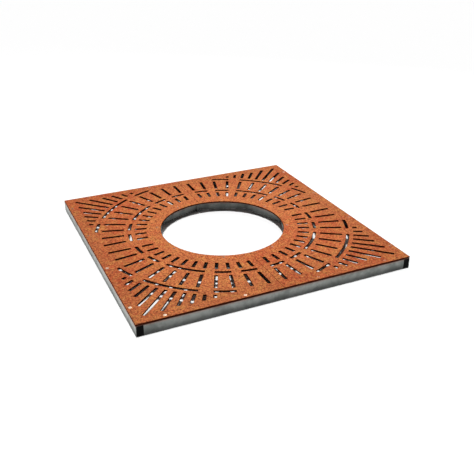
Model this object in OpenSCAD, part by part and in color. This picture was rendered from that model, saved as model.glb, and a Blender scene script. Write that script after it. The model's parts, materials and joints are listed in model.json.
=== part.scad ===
/* [Grate] */
// Side of the square grate, over the frame
grate_side = 1490; // [1470:10:1600]
// Diameter of the trunk opening
trunk_d = 700; // [640:10:720]
// Thickness of the weathering-steel plate
plate_t = 8; // [6:1:10]
// Gap between the two plate halves
plate_gap = 2; // [1:0.5:4]

/* [Slots] */
// Width of every slot
slot_w = 16; // [10:1:18]
// Slot lines in each quarter, the first and the last one parallel to an axis
slot_lines = 12; // [10:1:13]
// Distance from each axis to the point where a quarter's slot lines meet
line_offset = 46; // [42:1:52]
// Steel between the trunk opening and the inner slots
rim_w = 82; // [76:1:90]
// Length of the inner radial slots
inner_slot_len = 62; // [40:1:66]
// Length of the outer radial slots
outer_slot_len = 120; // [80:1:124]
// Steel left between one row of slots and the next
bridge = 24; // [18:1:26]
// Distance from the plate's edge to the end of the corner slots
fan_margin = 58; // [54:1:70]
// Slot lines of the corner fan on each side of the diagonal, half a step apart
fan_reach = 5; // [3:1:5]
// Which corner slot, counted from the diagonal, stops short
short_line = 2; // [0:1:5]
// How much shorter that slot is
short_by = 10; // [0:1:20]

/* [Frame] */
// Width of the rectangular tube
tube_w = 40; // [36:1:44]
// Height of the rectangular tube
tube_h = 60; // [50:1:80]
// Wall of the rectangular tube
tube_wall = 3; // [2.5:0.5:4]
// Outer corner radius of the tube
tube_corner = 6; // [5:0.5:8]
// Height of the tube of the ring and the cross rails, which hangs clear of the ground
ring_h = 45; // [36:1:46]
// Distance of the ring's inner faces behind the edge of the trunk opening
ring_setback = 2; // [1:0.5:5]
// Thickness of the flat bars at the seam
seam_bar_t = 8; // [6:1:10]
// Length of the seam bars that stands out of the ring's inner corner
bar_lip = 8; // [2:1:12]
// Leg of the fillet welds
weld_leg = 6; // [3:0.5:8]
// Diameter of the drain holes in the undersides of the closed tubes
drain_d = 12; // [8:1:14]
// Distance from a rail's closed end to its drain hole
drain_inset = 30; // [25:1:40]

/* [Screws] */
// Diameter of the screws that hold the plate
screw_d = 8; // [6:1:8]
// Diameter of their countersunk heads
head_d = 16; // [15:0.5:18]
// Length of the screws, head included
screw_len = 25; // [22:1:30]
// Width of the hexagon socket across its flats
socket_w = 5; // [4:0.5:6]
// Depth of the hexagon socket
socket_deep = 3; // [2:0.5:3.5]
// Distance from an axis to the first edge screw
screw_near = 200; // [180:5:240]
// Distance from an axis to the second edge screw
screw_far = 600; // [560:5:640]
// Angle from an axis to the nearest screw of the ring
ring_screw_angle = 22.5; // [18:0.5:27]
// Room between a screw's shank and its hole in the plate
hole_clearance = 0.5; // [0.3:0.1:0.8]

/* [Rivet nuts] */
// Outer diameter of a rivet nut's sleeve
nut_sleeve_d = 11; // [10:0.5:12]
// Length of a rivet nut
nut_len = 17; // [14:1:20]
// Diameter of the collar that grips under the tube's wall
nut_collar_d = 15; // [13:0.5:16]
// Height of that collar
nut_collar_h = 4; // [3:0.5:5]
// Room between the screw and the thread's stand-in bore
thread_clearance = 0.1; // [0.05:0.05:0.2]

/* [Seam bolts] */
// Diameter of the bolts that join the halves
bolt_d = 10; // [8:1:12]
// Width of the bolt heads and nuts across their flats
bolt_flats = 17; // [16:0.5:19]
// Height of the bolt heads
bolt_head_h = 6.4; // [5:0.2:8]
// Height of the nuts
bolt_nut_h = 9; // [8:0.5:11]
// Length of thread beyond a nut
bolt_tail = 4; // [2:0.5:8]
// Outer diameter of the washers
washer_d = 21; // [20:0.5:24]
// Thickness of the washers
washer_t = 2; // [1.5:0.5:3]
// Distance from the ring and from the rail to a bolt
bolt_inset = 60; // [40:5:100]
// Room between a bolt and its holes
bolt_clearance = 0.5; // [0.3:0.1:1]

/* [End plugs] */
// Depth of a plug inside its tube
plug_deep = 22; // [18:1:30]
// Thickness of the plug's face and walls
plug_skin = 3; // [2.5:0.5:4]
// Room between the plug's core and the tube
plug_clearance = 1.2; // [0.8:0.1:1.6]
// Number of fins that grip the tube
plug_fins = 3; // [2:1:4]
// Thickness of a fin
fin_t = 1.2; // [0.8:0.1:1.6]
// Width of the border round the face's recess
plug_border = 4; // [3:0.5:5]
// Depth of the recess in the plug's face
plug_recess = 1.5; // [1:0.5:2]
// Width of the ribs in the recess
plug_rib_w = 2; // [1:0.5:3]
// Number of ribs in the recess
plug_ribs = 3; // [2:1:4]

/* [Hidden] */
$fn = 96;
// Facets of the arcs about the trunk
trunk_fn = 240;

half_side = grate_side / 2;
trunk_r = trunk_d / 2;
// The ring has eight straight sides, with corners on both axes
ring_sides = 8;
half_turn = 180 / ring_sides;
ring_in = trunk_r + ring_setback;
ring_mid = ring_in + tube_w / 2;
ring_out = ring_in + tube_w;
ring_inner_corner = ring_in / cos(half_turn);
ring_outer_corner = ring_out / cos(half_turn);
ring_low = tube_h - ring_h;
side_angles = [for (i = [-2, -1, 0, 1]) (2 * i + 1) * half_turn];
rail_in = half_side - tube_w;
rail_mid = half_side - tube_w / 2;
plate_top = tube_h + plate_t;

// Rows of slots, from the trunk opening outwards
inner_from = trunk_r + rim_w;
inner_to = inner_from + inner_slot_len;
inner_arc_r = inner_to + bridge + slot_w / 2;
outer_from = inner_arc_r + slot_w / 2 + bridge;
outer_to = outer_from + outer_slot_len;
outer_arc_r = outer_to + bridge + slot_w / 2;
fan_from = outer_arc_r + slot_w / 2 + bridge;
fan_edge = half_side - fan_margin;

// Lines are counted in half steps from the X axis, and every second one carries radial slots
radial_step = 2;
last_line = radial_step * (slot_lines - 1);
line_step = 90 / last_line;
diagonal = last_line / 2;
// Half steps from the diagonal to the radial line at which the middle arc slot ends
middle_reach = diagonal % 2 == 1 ? 3 : 4;
// The other arc slots join every second pair of radial lines, from the axis to the middle one
near_pairs = [
    for (k = [0 : 2 * radial_step : diagonal - middle_reach - radial_step - 1]) [k, k + radial_step]
];

head_h = (head_d - screw_d) / 2;
hole_r = screw_d / 2 + hole_clearance;
nut_bore_r = screw_d / 2 + thread_clearance;
opening_w = tube_w - 2 * tube_wall;
opening_h = tube_h - 2 * tube_wall;
opening_corner = tube_corner - tube_wall;
bolt_z = tube_h / 2;
bolt_places = [ring_outer_corner + bolt_inset, rail_in - bolt_inset];
// Overrun of a cut past the face that it opens
past = 1;

weathering_steel = "#be7049";
galvanised = "#8f9496";
stainless = "#d8d6d0";
zinc_plated = "#b4b7b8";
black_plastic = "#141414";

// Distance along line k from the lines' meeting point to radius r about the trunk
function along(k, r) =
    let (b = line_offset * (cos(k * line_step) + sin(k * line_step)))
    sqrt(b * b - 2 * line_offset * line_offset + r * r) - b;
// Angle about the trunk at which line k crosses radius r
function line_angle(k, r) =
    atan2(line_offset + along(k, r) * sin(k * line_step), line_offset + along(k, r) * cos(k * line_step));
// Distance along line k to the end of the corner slots
function fan_end(k) =
    (fan_edge - line_offset) / max(cos(k * line_step), sin(k * line_step))
    - (abs(k - diagonal) == short_line ? short_by : 0);
// All pairs of lines that arc slots at radius r join and that stay inside the plate's plain border
function arcs_at(r) = concat(
    [[diagonal - middle_reach, diagonal + middle_reach]],
    [for (p = near_pairs) if ((r + slot_w / 2) * cos(line_angle(p[0], r)) < fan_edge)
        each [p, [last_line - p[1], last_line - p[0]]]]
);

// Places of the screws on the right half
edge_screws = [
    for (s = [-1, 1], d = [screw_near, screw_far]) [rail_mid, s * d],
    for (s = [-1, 1], d = [screw_near, screw_far]) [d, s * rail_mid]
];
// The ring's screws stand on the middle line of its sides
ring_screw_r = ring_mid / cos(ring_screw_angle - half_turn);
ring_screws = [
    for (a = [-90 + ring_screw_angle, -ring_screw_angle, ring_screw_angle, 90 - ring_screw_angle])
        ring_screw_r * [cos(a), sin(a)]
];
screw_places = concat(edge_screws, ring_screws);

module left_of_right() {
    mirror([1, 0, 0]) children();
}

module back_of_front() {
    mirror([0, 1, 0]) children();
}

// Rectangle with rounded corners, centred, as one outline of flats and true arcs
module rounded_box(w, h, r) {
    square([w - 2 * r, h], center = true);
    square([w, h - 2 * r], center = true);
    for (x = [-1, 1], y = [-1, 1]) translate([x * (w / 2 - r), y * (h / 2 - r)]) circle(r);
}

// Section of a tube of the frame, centred across and hanging from the plate's underside
module tube_section(h) {
    translate([0, tube_h - h / 2]) difference() {
        rounded_box(tube_w, h, tube_corner);
        rounded_box(opening_w, h - 2 * tube_wall, opening_corner);
    }
}

// Tube along X from x0 to x1, its middle line on Y = 0
module tube_x(x0, x1, h = tube_h) {
    translate([x0, 0, 0]) rotate([90, 0, 90]) linear_extrude(height = x1 - x0) tube_section(h);
}

// Hole through the tube's top wall for a rivet nut
module nut_hole() {
    translate([0, 0, tube_h - tube_wall - past]) cylinder(h = tube_wall + 2 * past, d = nut_sleeve_d);
}

// Hole through the bottom wall of a tube whose underside is at a height
module drain_hole(low = 0) {
    translate([0, 0, low - past]) cylinder(h = tube_wall + 2 * past, d = drain_d);
}

// Straight slot on line k of the first quarter, between two distances along the line
module line_slot(k, from, to) {
    translate([line_offset, line_offset, tube_h - past])
        rotate([0, 0, k * line_step])
        translate([from, -slot_w / 2, 0])
        cube([to - from, slot_w, plate_t + 2 * past]);
}

// Arc slot at radius r, from the outer side of one line's slot to that of another's
module arc_slot(r, lines) {
    over = slot_w / 2 / r * 180 / PI;
    from = line_angle(lines[0], r) - over;
    to = line_angle(lines[1], r) + over;
    rotate([0, 0, from])
        rotate_extrude(angle = to - from, $fn = trunk_fn)
        translate([r - slot_w / 2, tube_h - past])
        square([slot_w, plate_t + 2 * past]);
}

// All slots of the first quarter
module quarter_slots() {
    for (k = [0 : radial_step : last_line]) {
        line_slot(k, along(k, inner_from), along(k, inner_to));
        line_slot(k, along(k, outer_from), along(k, outer_to));
    }
    for (k = [diagonal - fan_reach : diagonal + fan_reach]) {
        from = along(k, fan_from);
        if (fan_end(k) - from > slot_w / 2) line_slot(k, from, fan_end(k));
    }
    for (r = [inner_arc_r, outer_arc_r], lines = arcs_at(r)) arc_slot(r, lines);
}

// Countersunk hole through the plate
module screw_hole() {
    sink = head_d / 2 - hole_r;
    translate([0, 0, tube_h - past]) cylinder(h = plate_t + 2 * past, r = hole_r);
    translate([0, 0, plate_top - sink]) cylinder(h = sink + past, r1 = hole_r, r2 = head_d / 2 + past);
}

module plate_half() {
    color(weathering_steel) difference() {
        translate([plate_gap / 2, -half_side, tube_h])
            cube([half_side - plate_gap / 2, grate_side, plate_t]);
        translate([0, 0, tube_h - past]) cylinder(h = plate_t + 2 * past, r = trunk_r, $fn = trunk_fn);
        quarter_slots();
        back_of_front() quarter_slots();
        for (p = screw_places) translate(p) screw_hole();
    }
}

// Space inside the ring's outer faces, as a cutter for what meets them
module ring_cut() {
    translate([0, 0, -past]) cylinder(h = tube_h + 2 * past, r = ring_outer_corner, $fn = ring_sides);
}

// Full-depth tube on the right, open at both ends for its plugs
module side_rail() {
    color(galvanised) difference() {
        translate([rail_mid, 0, 0]) rotate([0, 0, 90]) tube_x(-half_side, half_side);
        for (p = edge_screws) if (p[0] == rail_mid) translate(p) nut_hole();
    }
}

// Tube on the front of the right half, between the seam bar and the side rail
module front_rail() {
    color(galvanised) difference() {
        translate([0, -rail_mid, 0]) tube_x(seam_bar_t, rail_in);
        for (x = [screw_near, screw_far]) translate([x, -rail_mid, 0]) nut_hole();
        for (x = [seam_bar_t + drain_inset, rail_in - drain_inset])
            translate([x, -rail_mid, 0]) drain_hole();
    }
}

// Flat bar on the front of the right half, from the frame's outer face through the ring's corner
module seam_bar() {
    color(galvanised) difference() {
        translate([0, -half_side, 0]) cube([seam_bar_t, half_side - ring_inner_corner + bar_lip, tube_h]);
        for (y = bolt_places) translate([-past, -y, bolt_z]) rotate([0, 90, 0])
            cylinder(h = seam_bar_t + 2 * past, r = bolt_d / 2 + bolt_clearance);
    }
}

// Straight side of the ring from the X axis to the first diagonal, mitred at both
module ring_side() {
    reach = ring_outer_corner + past;
    intersection() {
        rotate([0, 0, half_turn]) translate([ring_mid, 0, 0])
            rotate([0, 0, 90]) tube_x(-reach, reach, ring_h);
        linear_extrude(height = tube_h + past) polygon([[0, 0], [reach, 0], [reach, reach]]);
    }
}

// Four sides of the ring round the right half of the trunk opening, cut off at the seam bars
module ring_half() {
    color(galvanised) difference() {
        union() {
            for (s = [0, 1], d = [0, 1]) mirror([0, s, 0]) mirror([d, -d, 0]) ring_side();
        }
        translate([-seam_bar_t, -ring_outer_corner - past, -past])
            cube([2 * seam_bar_t, 2 * (ring_outer_corner + past), tube_h + 2 * past]);
        for (p = ring_screws) translate(p) nut_hole();
        for (a = side_angles) translate(ring_mid * [cos(a), sin(a), 0]) drain_hole(ring_low);
    }
}

// Tube from the ring's corner to the side rail, its end notched to the ring's outer faces
module cross_rail() {
    color(galvanised) difference() {
        tube_x(ring_out - tube_w / 2, rail_in, ring_h);
        ring_cut();
        for (x = [ring_outer_corner + drain_inset, rail_in - drain_inset])
            translate([x, 0, 0]) drain_hole(ring_low);
    }
}

// Slice of a plug along its depth, with the rounded outline of the tube's opening less a border
module plug_slice(from, to, border) {
    translate([0, to, tube_h / 2]) rotate([90, 0, 0]) linear_extrude(height = to - from)
        rounded_box(opening_w - 2 * border, opening_h - 2 * border, opening_corner);
}

// Push-in plug in the front end of the right side rail
module end_plug() {
    fin_step = (plug_deep - plug_skin) / plug_fins;
    rib_step = (opening_w - 2 * plug_border) / (plug_ribs + 1);
    color(black_plastic) translate([rail_mid, -half_side, 0]) {
        difference() {
            union() {
                plug_slice(0, plug_skin, 0);
                plug_slice(0, plug_deep, plug_clearance);
                for (i = [1 : plug_fins]) {
                    back = plug_skin + i * fin_step;
                    plug_slice(back - fin_t, back, 0);
                }
            }
            plug_slice(-past, plug_recess, plug_border);
            plug_slice(plug_skin + plug_recess, plug_deep + past, plug_clearance + plug_skin);
        }
        for (i = [1 : plug_ribs])
            translate([-opening_w / 2 + plug_border + i * rib_step - plug_rib_w / 2, plug_recess / 2,
                tube_wall + plug_border])
            cube([plug_rib_w, plug_recess / 2, opening_h - 2 * plug_border]);
    }
}

// Countersunk screw with a hexagon socket, its head flush with the plate
module plate_screw() {
    translate([0, 0, plate_top]) difference() {
        union() {
            translate([0, 0, -head_h]) cylinder(h = head_h, r1 = screw_d / 2, r2 = head_d / 2);
            translate([0, 0, -screw_len]) cylinder(h = screw_len, d = screw_d);
        }
        translate([0, 0, -socket_deep])
            cylinder(h = socket_deep + past, d = socket_w / cos(30), $fn = 6);
    }
}

// Rivet nut flush with the top of the tube, its collar under the wall
module rivet_nut() {
    difference() {
        union() {
            translate([0, 0, tube_h - nut_len]) cylinder(h = nut_len, d = nut_sleeve_d);
            translate([0, 0, tube_h - tube_wall - nut_collar_h])
                cylinder(h = nut_collar_h, d = nut_collar_d);
        }
        translate([0, 0, tube_h - nut_len - past]) cylinder(h = nut_len + 2 * past, r = nut_bore_r);
    }
}

module half_screws() {
    color(stainless) for (p = screw_places) translate(p) plate_screw();
}

module half_nuts() {
    color(zinc_plated) for (p = screw_places) translate(p) rivet_nut();
}

// Fillet weld over a tube's flat height, from the origin along +X and along a second face at an angle
module corner_weld(low = 0, angle = 90) {
    translate([0, 0, low + tube_corner]) linear_extrude(height = tube_h - low - 2 * tube_corner)
        polygon([[0, 0], [weld_leg, 0], weld_leg * [cos(angle), sin(angle)]]);
}

// Welds of the right half, front and back alike
module half_welds() {
    wide = 90 + half_turn;
    // Where the ring's outer faces stand at the cross rail's side and at the seam bar's side
    rail_meets = ring_outer_corner - tube_w / 2 * tan(half_turn);
    bar_meets = ring_outer_corner - seam_bar_t * tan(half_turn);
    color(galvanised) for (s = [0, 1]) mirror([0, s, 0]) {
        translate([rail_in, -rail_in, 0]) rotate([0, 0, 90]) corner_weld();
        translate([seam_bar_t, -rail_in, 0]) corner_weld();
        translate([rail_in, -tube_w / 2, 0]) rotate([0, 0, 180]) corner_weld(ring_low);
        translate([rail_meets, -tube_w / 2, 0]) rotate([0, 0, -wide]) corner_weld(ring_low, wide);
        translate([seam_bar_t, -bar_meets, 0]) rotate([0, 0, -90]) corner_weld(ring_low, wide);
    }
}

// Runs its child at each seam bolt, with X along the bolt and X = 0 on the seam
module at_seam_bolts() {
    for (s = [-1, 1], y = bolt_places) translate([0, s * y, bolt_z]) children();
}

module bolt_hex(x0, h) {
    translate([x0, 0, 0]) rotate([0, 90, 0]) cylinder(h = h, d = bolt_flats / cos(30), $fn = 6);
}

module seam_bolts() {
    grip = seam_bar_t + washer_t;
    color(zinc_plated) at_seam_bolts() {
        bolt_hex(-grip - bolt_head_h, bolt_head_h);
        translate([-grip, 0, 0]) rotate([0, 90, 0])
            cylinder(h = 2 * grip + bolt_nut_h + bolt_tail, d = bolt_d);
    }
}

module seam_washers() {
    color(zinc_plated) at_seam_bolts() for (x = [-seam_bar_t - washer_t, seam_bar_t])
        translate([x, 0, 0]) rotate([0, 90, 0]) difference() {
            cylinder(h = washer_t, d = washer_d);
            translate([0, 0, -past]) cylinder(h = washer_t + 2 * past, r = bolt_d / 2 + bolt_clearance);
        }
}

module seam_nuts() {
    color(zinc_plated) at_seam_bolts() difference() {
        bolt_hex(seam_bar_t + washer_t, bolt_nut_h);
        translate([seam_bar_t, 0, 0]) rotate([0, 90, 0])
            cylinder(h = washer_t + bolt_nut_h + past, r = bolt_d / 2 + thread_clearance);
    }
}

left_of_right() plate_half();  // plate_left
plate_half();  // plate_right
left_of_right() side_rail();  // side_rail_left
side_rail();  // side_rail_right
left_of_right() front_rail();  // front_rail_left
front_rail();  // front_rail_right
left_of_right() back_of_front() front_rail();  // back_rail_left
back_of_front() front_rail();  // back_rail_right
left_of_right() seam_bar();  // seam_bar_front_left
seam_bar();  // seam_bar_front_right
left_of_right() back_of_front() seam_bar();  // seam_bar_back_left
back_of_front() seam_bar();  // seam_bar_back_right
left_of_right() ring_half();  // ring_left
ring_half();  // ring_right
left_of_right() cross_rail();  // cross_rail_left
cross_rail();  // cross_rail_right
left_of_right() end_plug();  // end_plug_front_left
end_plug();  // end_plug_front_right
left_of_right() back_of_front() end_plug();  // end_plug_back_left
back_of_front() end_plug();  // end_plug_back_right
left_of_right() half_screws();  // plate_screws_left
half_screws();  // plate_screws_right
left_of_right() half_nuts();  // rivet_nuts_left
half_nuts();  // rivet_nuts_right
left_of_right() half_welds();  // weld_beads_left
half_welds();  // weld_beads_right
seam_bolts();
seam_washers();
seam_nuts();
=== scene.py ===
"""Dresses the packed tree grate: two slotted rust-skinned plates on a galvanised tube frame.

Sizes are in metres and stand in the frame of the packed model: Z up the trunk's axis from the
underside, X across the seam between the two halves, Y along it, the long front towards -Y.
"""

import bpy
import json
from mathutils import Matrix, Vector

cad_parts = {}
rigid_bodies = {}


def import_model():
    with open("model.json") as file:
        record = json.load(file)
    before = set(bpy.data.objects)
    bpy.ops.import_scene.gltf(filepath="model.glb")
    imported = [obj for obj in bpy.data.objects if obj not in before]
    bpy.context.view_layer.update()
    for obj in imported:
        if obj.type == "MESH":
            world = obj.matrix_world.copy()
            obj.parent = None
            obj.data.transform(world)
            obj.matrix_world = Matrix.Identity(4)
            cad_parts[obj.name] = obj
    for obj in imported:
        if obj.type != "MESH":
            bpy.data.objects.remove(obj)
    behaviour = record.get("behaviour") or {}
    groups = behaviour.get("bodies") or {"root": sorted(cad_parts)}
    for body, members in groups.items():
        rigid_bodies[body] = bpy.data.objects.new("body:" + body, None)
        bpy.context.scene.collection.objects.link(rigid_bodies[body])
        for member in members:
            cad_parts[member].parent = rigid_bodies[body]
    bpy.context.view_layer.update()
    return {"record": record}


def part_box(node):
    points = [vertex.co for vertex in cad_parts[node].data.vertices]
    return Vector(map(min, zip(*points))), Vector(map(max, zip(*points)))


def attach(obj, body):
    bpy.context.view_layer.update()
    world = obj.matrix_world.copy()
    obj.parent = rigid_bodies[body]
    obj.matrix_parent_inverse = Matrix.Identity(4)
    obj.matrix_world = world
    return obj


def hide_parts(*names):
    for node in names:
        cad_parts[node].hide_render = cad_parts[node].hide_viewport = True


bl_info = {
    "name": "Tree Grate",
    "version": (1, 0, 0),
    "blender": (4, 5, 0),
    "location": "3D View > Sidebar > Tree Grate",
    "description": "Dresses a square two-part tree grate of weathering steel on a galvanised frame",
    "category": "Object",
}

import json
import math

import bmesh
import bpy
from bpy.props import FloatProperty, FloatVectorProperty, IntProperty, PointerProperty
from mathutils import Matrix, Vector

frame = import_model()

MM = 0.001
SIDES = {"left": -1.0, "right": 1.0}
FRONT_TO_BACK = (1.0, -1.0, 1.0)

# What the packed model fixes: every piece is drawn between these faces
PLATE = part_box("plate_right")
HALF_SIDE = PLATE[1].x
UNDERSIDE = PLATE[0].z
PLATE_TOP = PLATE[1].z
TRUNK_RADIUS = next(m["dims"]["r_mm"] for m in frame["record"]["mounts"] if m["kind"] == "bore") * MM
SEAM_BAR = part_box("seam_bar_front_right")[1].x
RAIL_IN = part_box("side_rail_right")[0].x
TUBE_WIDTH = HALF_SIDE - RAIL_IN
RAIL_MID = HALF_SIDE - TUBE_WIDTH / 2
# The ring has eight straight sides, with corners on both axes, and hangs clear of the ground
HALF_TURN = math.pi / 8
RING_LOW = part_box("ring_right")[0].z
RING_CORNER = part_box("ring_right")[1].x
RING_MID = RING_CORNER * math.cos(HALF_TURN) - TUBE_WIDTH / 2

# How settings that are angles or powers are kept and shown
ANGLE = {"subtype": "ANGLE", "unit": "ROTATION"}
POWER = {"min": 0.0, "unit": "POWER"}


def number(value, name, description, **how):
    """Declare a number of the grate or of its stage."""
    return FloatProperty(name=name, description=description, default=value, **how)


def length(millimetres, name, description):
    """Declare a size of the grate, written in millimetres and kept in metres."""
    return number(
        millimetres * MM, name, description, min=0.0, precision=4, subtype="DISTANCE", unit="LENGTH")


def count(amount, name, description):
    """Declare how many of something the grate has."""
    return IntProperty(name=name, description=description, default=amount, min=0)


def linear(hex_colour):
    """Turn an sRGB hex colour into linear red, green and blue."""
    parts = [int(hex_colour[i:i + 2], 16) / 255 for i in (1, 3, 5)]
    return tuple(c / 12.92 if c <= 0.04045 else ((c + 0.055) / 1.055) ** 2.4 for c in parts)


def colour(hex_colour, name, description):
    """Declare a colour of a finish, written as sRGB hex."""
    return FloatVectorProperty(
        name=name, description=description, default=linear(hex_colour), size=3, min=0.0, max=1.0,
        subtype="COLOR",
    )


class PlateSizes(bpy.types.PropertyGroup):
    """Sizes of the slotted plate."""

    slot_width: length(16, "Slot width", "Width of every slot")
    slot_lines: count(12, "Slot lines", "Slot lines in each quarter, the outer two along the axes")
    line_offset: length(46, "Line offset", "Distance from each axis to the point where the lines meet")
    rim_width: length(82, "Rim width", "Steel between the trunk opening and the inner slots")
    inner_slot: length(62, "Inner slots", "Length of the inner radial slots")
    outer_slot: length(120, "Outer slots", "Length of the outer radial slots")
    bridge: length(24, "Bridge", "Steel left between one row of slots and the next")
    fan_margin: length(58, "Corner margin", "Distance from the plate's edge to the corner slots")
    fan_reach: count(5, "Corner reach", "Corner slots on each side of the diagonal")
    short_line: count(2, "Short slots", "Which corner slots, counted from the diagonal, stop short")
    short_by: length(10, "Shortfall", "How much shorter those slots are")
    edge_round: length(1.6, "Edge rounding", "Burnt rounding of the slots and of the outer edges")


class ScrewSizes(bpy.types.PropertyGroup):
    """Sizes and places of the countersunk screws and their rivet nuts."""

    shank: length(8, "Screw diameter", "Outer diameter of the screws' thread")
    head: length(16, "Head diameter", "Diameter of the countersunk heads")
    long: length(25, "Screw length", "Length of a screw with its head")
    pitch: length(1.25, "Thread pitch", "Rise of the screws' thread in one turn")
    socket: length(5, "Socket width", "Width of the hexagon socket across its flats")
    socket_deep: length(3, "Socket depth", "Depth of the hexagon socket")
    hole_room: length(0.5, "Hole clearance", "Room between a screw and its hole in the plate")
    near: length(200, "Near screw", "Distance from an axis to the first edge screw")
    far: length(600, "Far screw", "Distance from an axis to the second edge screw")
    ring_angle: number(
        math.radians(22.5), "Ring screw angle", "Angle from an axis to the nearest screw of the ring",
        min=0.0, max=math.radians(45), **ANGLE)
    nut_sleeve: length(11, "Nut sleeve", "Outer diameter of a rivet nut's sleeve")
    nut_long: length(17, "Nut length", "Length of a rivet nut")
    nut_collar: length(15, "Nut collar", "Diameter of the collar that grips under the tube's wall")
    nut_collar_high: length(4, "Collar height", "Height of that collar")
    nut_room: length(0.1, "Thread clearance", "Room between a screw's crests and its nut")


class BoltSizes(bpy.types.PropertyGroup):
    """Sizes of the bolts that join the two halves, and of their washers and nuts."""

    shank: length(10, "Bolt diameter", "Outer diameter of the bolts' thread")
    pitch: length(1.5, "Thread pitch", "Rise of the bolts' thread in one turn")
    flats: length(17, "Across flats", "Width of the bolt heads and nuts across their flats")
    head_high: length(6.4, "Head height", "Height of the bolt heads")
    nut_high: length(9, "Nut height", "Height of the nuts")
    tail: length(4, "Bolt tail", "Length of thread beyond a nut")
    washer: length(21, "Washer diameter", "Outer diameter of the washers")
    washer_thick: length(2, "Washer thickness", "Thickness of the washers")
    washer_room: length(0.5, "Washer clearance", "Room between a bolt and its washers")
    inset: length(60, "Bolt inset", "Distance from the ring and from the rail to a bolt")


class FrameSizes(bpy.types.PropertyGroup):
    """Sizes of the welds and plugs of the tube frame."""

    wall: length(3, "Tube wall", "Wall of the rectangular tube")
    corner: length(6, "Tube corner", "Outer corner radius of the tube")
    weld_leg: length(6, "Weld leg", "Leg of the fillet welds")
    weld_ripple: length(2.4, "Weld ripple", "Distance between the ripples of a weld")
    plug_deep: length(22, "Plug depth", "Depth of a plug inside its tube")
    plug_skin: length(3, "Plug skin", "Thickness of a plug's face and walls")
    plug_room: length(1.2, "Plug clearance", "Room between a plug's core and its tube")
    plug_fins: count(3, "Plug fins", "Number of fins that grip the tube")
    fin_thick: length(1.2, "Fin thickness", "Thickness of a fin")
    plug_border: length(4, "Plug border", "Width of the border round the recess of the face")
    plug_recess: length(1.5, "Plug recess", "Depth of that recess")
    rib_wide: length(2, "Rib width", "Width of the ribs in the recess")
    ribs: count(3, "Ribs", "Number of ribs in the recess")


class FinishColours(bpy.types.PropertyGroup):
    """Colours of the grate's finishes."""

    rust: colour("#ca7043", "Rust", "Settled rust, the plate's main colour")
    young_rust: colour("#da944f", "Young rust", "Ochre patches where the rust is young")
    red_rust: colour("#bf5230", "Red rust", "Red-brown patches where water stands")
    old_rust: colour("#7a3a1e", "Old rust", "Dark pits and flecks")
    # The cut edge's colour is darker than the cut's oxide, to paint the shade inside the slots and along the
    # plate's edges
    cut_rust_and_shade: colour("#48180a", "Cut edge", "Slot walls and edges")
    zinc: colour("#a3a7a3", "Zinc", "Hot-dip zinc, the frame's main colour")
    dull_zinc: colour("#828884", "Dull zinc", "Darker crystals and stains in the zinc")
    bright_zinc: colour("#bec2be", "Bright zinc", "Brighter crystals in the zinc")
    stainless: colour("#e6d2bd", "Stainless steel", "Clean screws")
    rust_film: colour("#9c6446", "Rust film", "Rust water dried on the screws")
    plated: colour("#b4b7b8", "Zinc plating", "Bolts, nuts and rivet nuts")
    plug: colour("#0a0a0a", "Polyethylene", "End plugs")


class StageSettings(bpy.types.PropertyGroup):
    """Camera, lights and floor."""

    target: FloatVectorProperty(
        name="Target", description="Point in the middle of the picture", size=3,
        default=(0.018, -0.161, 0.068), subtype="TRANSLATION", unit="LENGTH",
    )
    azimuth: number(
        math.radians(-24.90), "Azimuth", "Turn of the camera about the trunk's axis, from straight in front",
        **ANGLE)
    elevation: number(math.radians(26.94), "Elevation", "Height of the camera above the horizon", **ANGLE)
    distance: length(3635, "Distance", "From the camera to the target")
    lens: number(
        49.87, "Lens", "Focal length on a 36 mm wide sensor", min=1.0, subtype="DISTANCE_CAMERA",
        unit="CAMERA")
    overhead: number(0.765, "Overhead light", "Share of the light that falls from above", min=0.0)
    fill: number(0.09, "Fill light", "Share of the light that comes evenly from all round", min=0.0)
    back: number(32.0, "Back light", "Power of the soft light high at the back right", **POWER)
    side: number(50.0, "Side light", "Power of the soft light low on the left", **POWER)
    front: number(26.0, "Front light", "Power of the soft light low in front", **POWER)
    floor_tone: number(1.16, "Floor tone", "Brightness of the floor to the camera", min=0.0)
    floor_bounce: number(
        0.15, "Floor bounce", "Share of light that the floor throws back", min=0.0, max=1.0)


MATH = "ShaderNodeMath"
VECTOR_MATH = "ShaderNodeVectorMath"


def feed(tree, node, sockets):
    """Give a node's inputs what they take: values, outputs, or nodes for their first output."""
    inputs = [s for s in node.inputs if s.enabled]
    for key, value in sockets.items():
        socket = inputs[key] if isinstance(key, int) else next(s for s in inputs if s.name == key)
        for source in value if isinstance(value, list) else [value]:
            if isinstance(source, bpy.types.Node):
                source = next(s for s in source.outputs if s.enabled)
            if isinstance(source, bpy.types.NodeSocket):
                tree.links.new(source, socket)
            else:
                socket.default_value = source


def add(tree, kind, *sockets, **settings):
    """Add a node to a tree with its settings, and feed its inputs in order or from a dictionary."""
    node = tree.nodes.new(kind)
    for name, value in settings.items():
        setattr(node, name, value)
    by_name = sockets and isinstance(sockets[0], dict)
    feed(tree, node, sockets[0] if by_name else dict(enumerate(sockets)))
    return node


def blank_finish(name):
    """Start a material; return it with its tree, its shader and the object's coordinates."""
    material = bpy.data.materials.new(name)
    material.use_nodes = True
    tree = material.node_tree
    shader = next(n for n in tree.nodes if n.type == "BSDF_PRINCIPLED")
    return material, tree, shader, add(tree, "ShaderNodeTexCoord").outputs["Object"]


def per_metre(millimetres):
    """Scale of a texture whose features are this many millimetres apart."""
    return 1000.0 / millimetres


def opaque(rgb):
    """Give a colour the alpha that a colour socket wants."""
    return (*rgb, 1.0)


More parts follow.
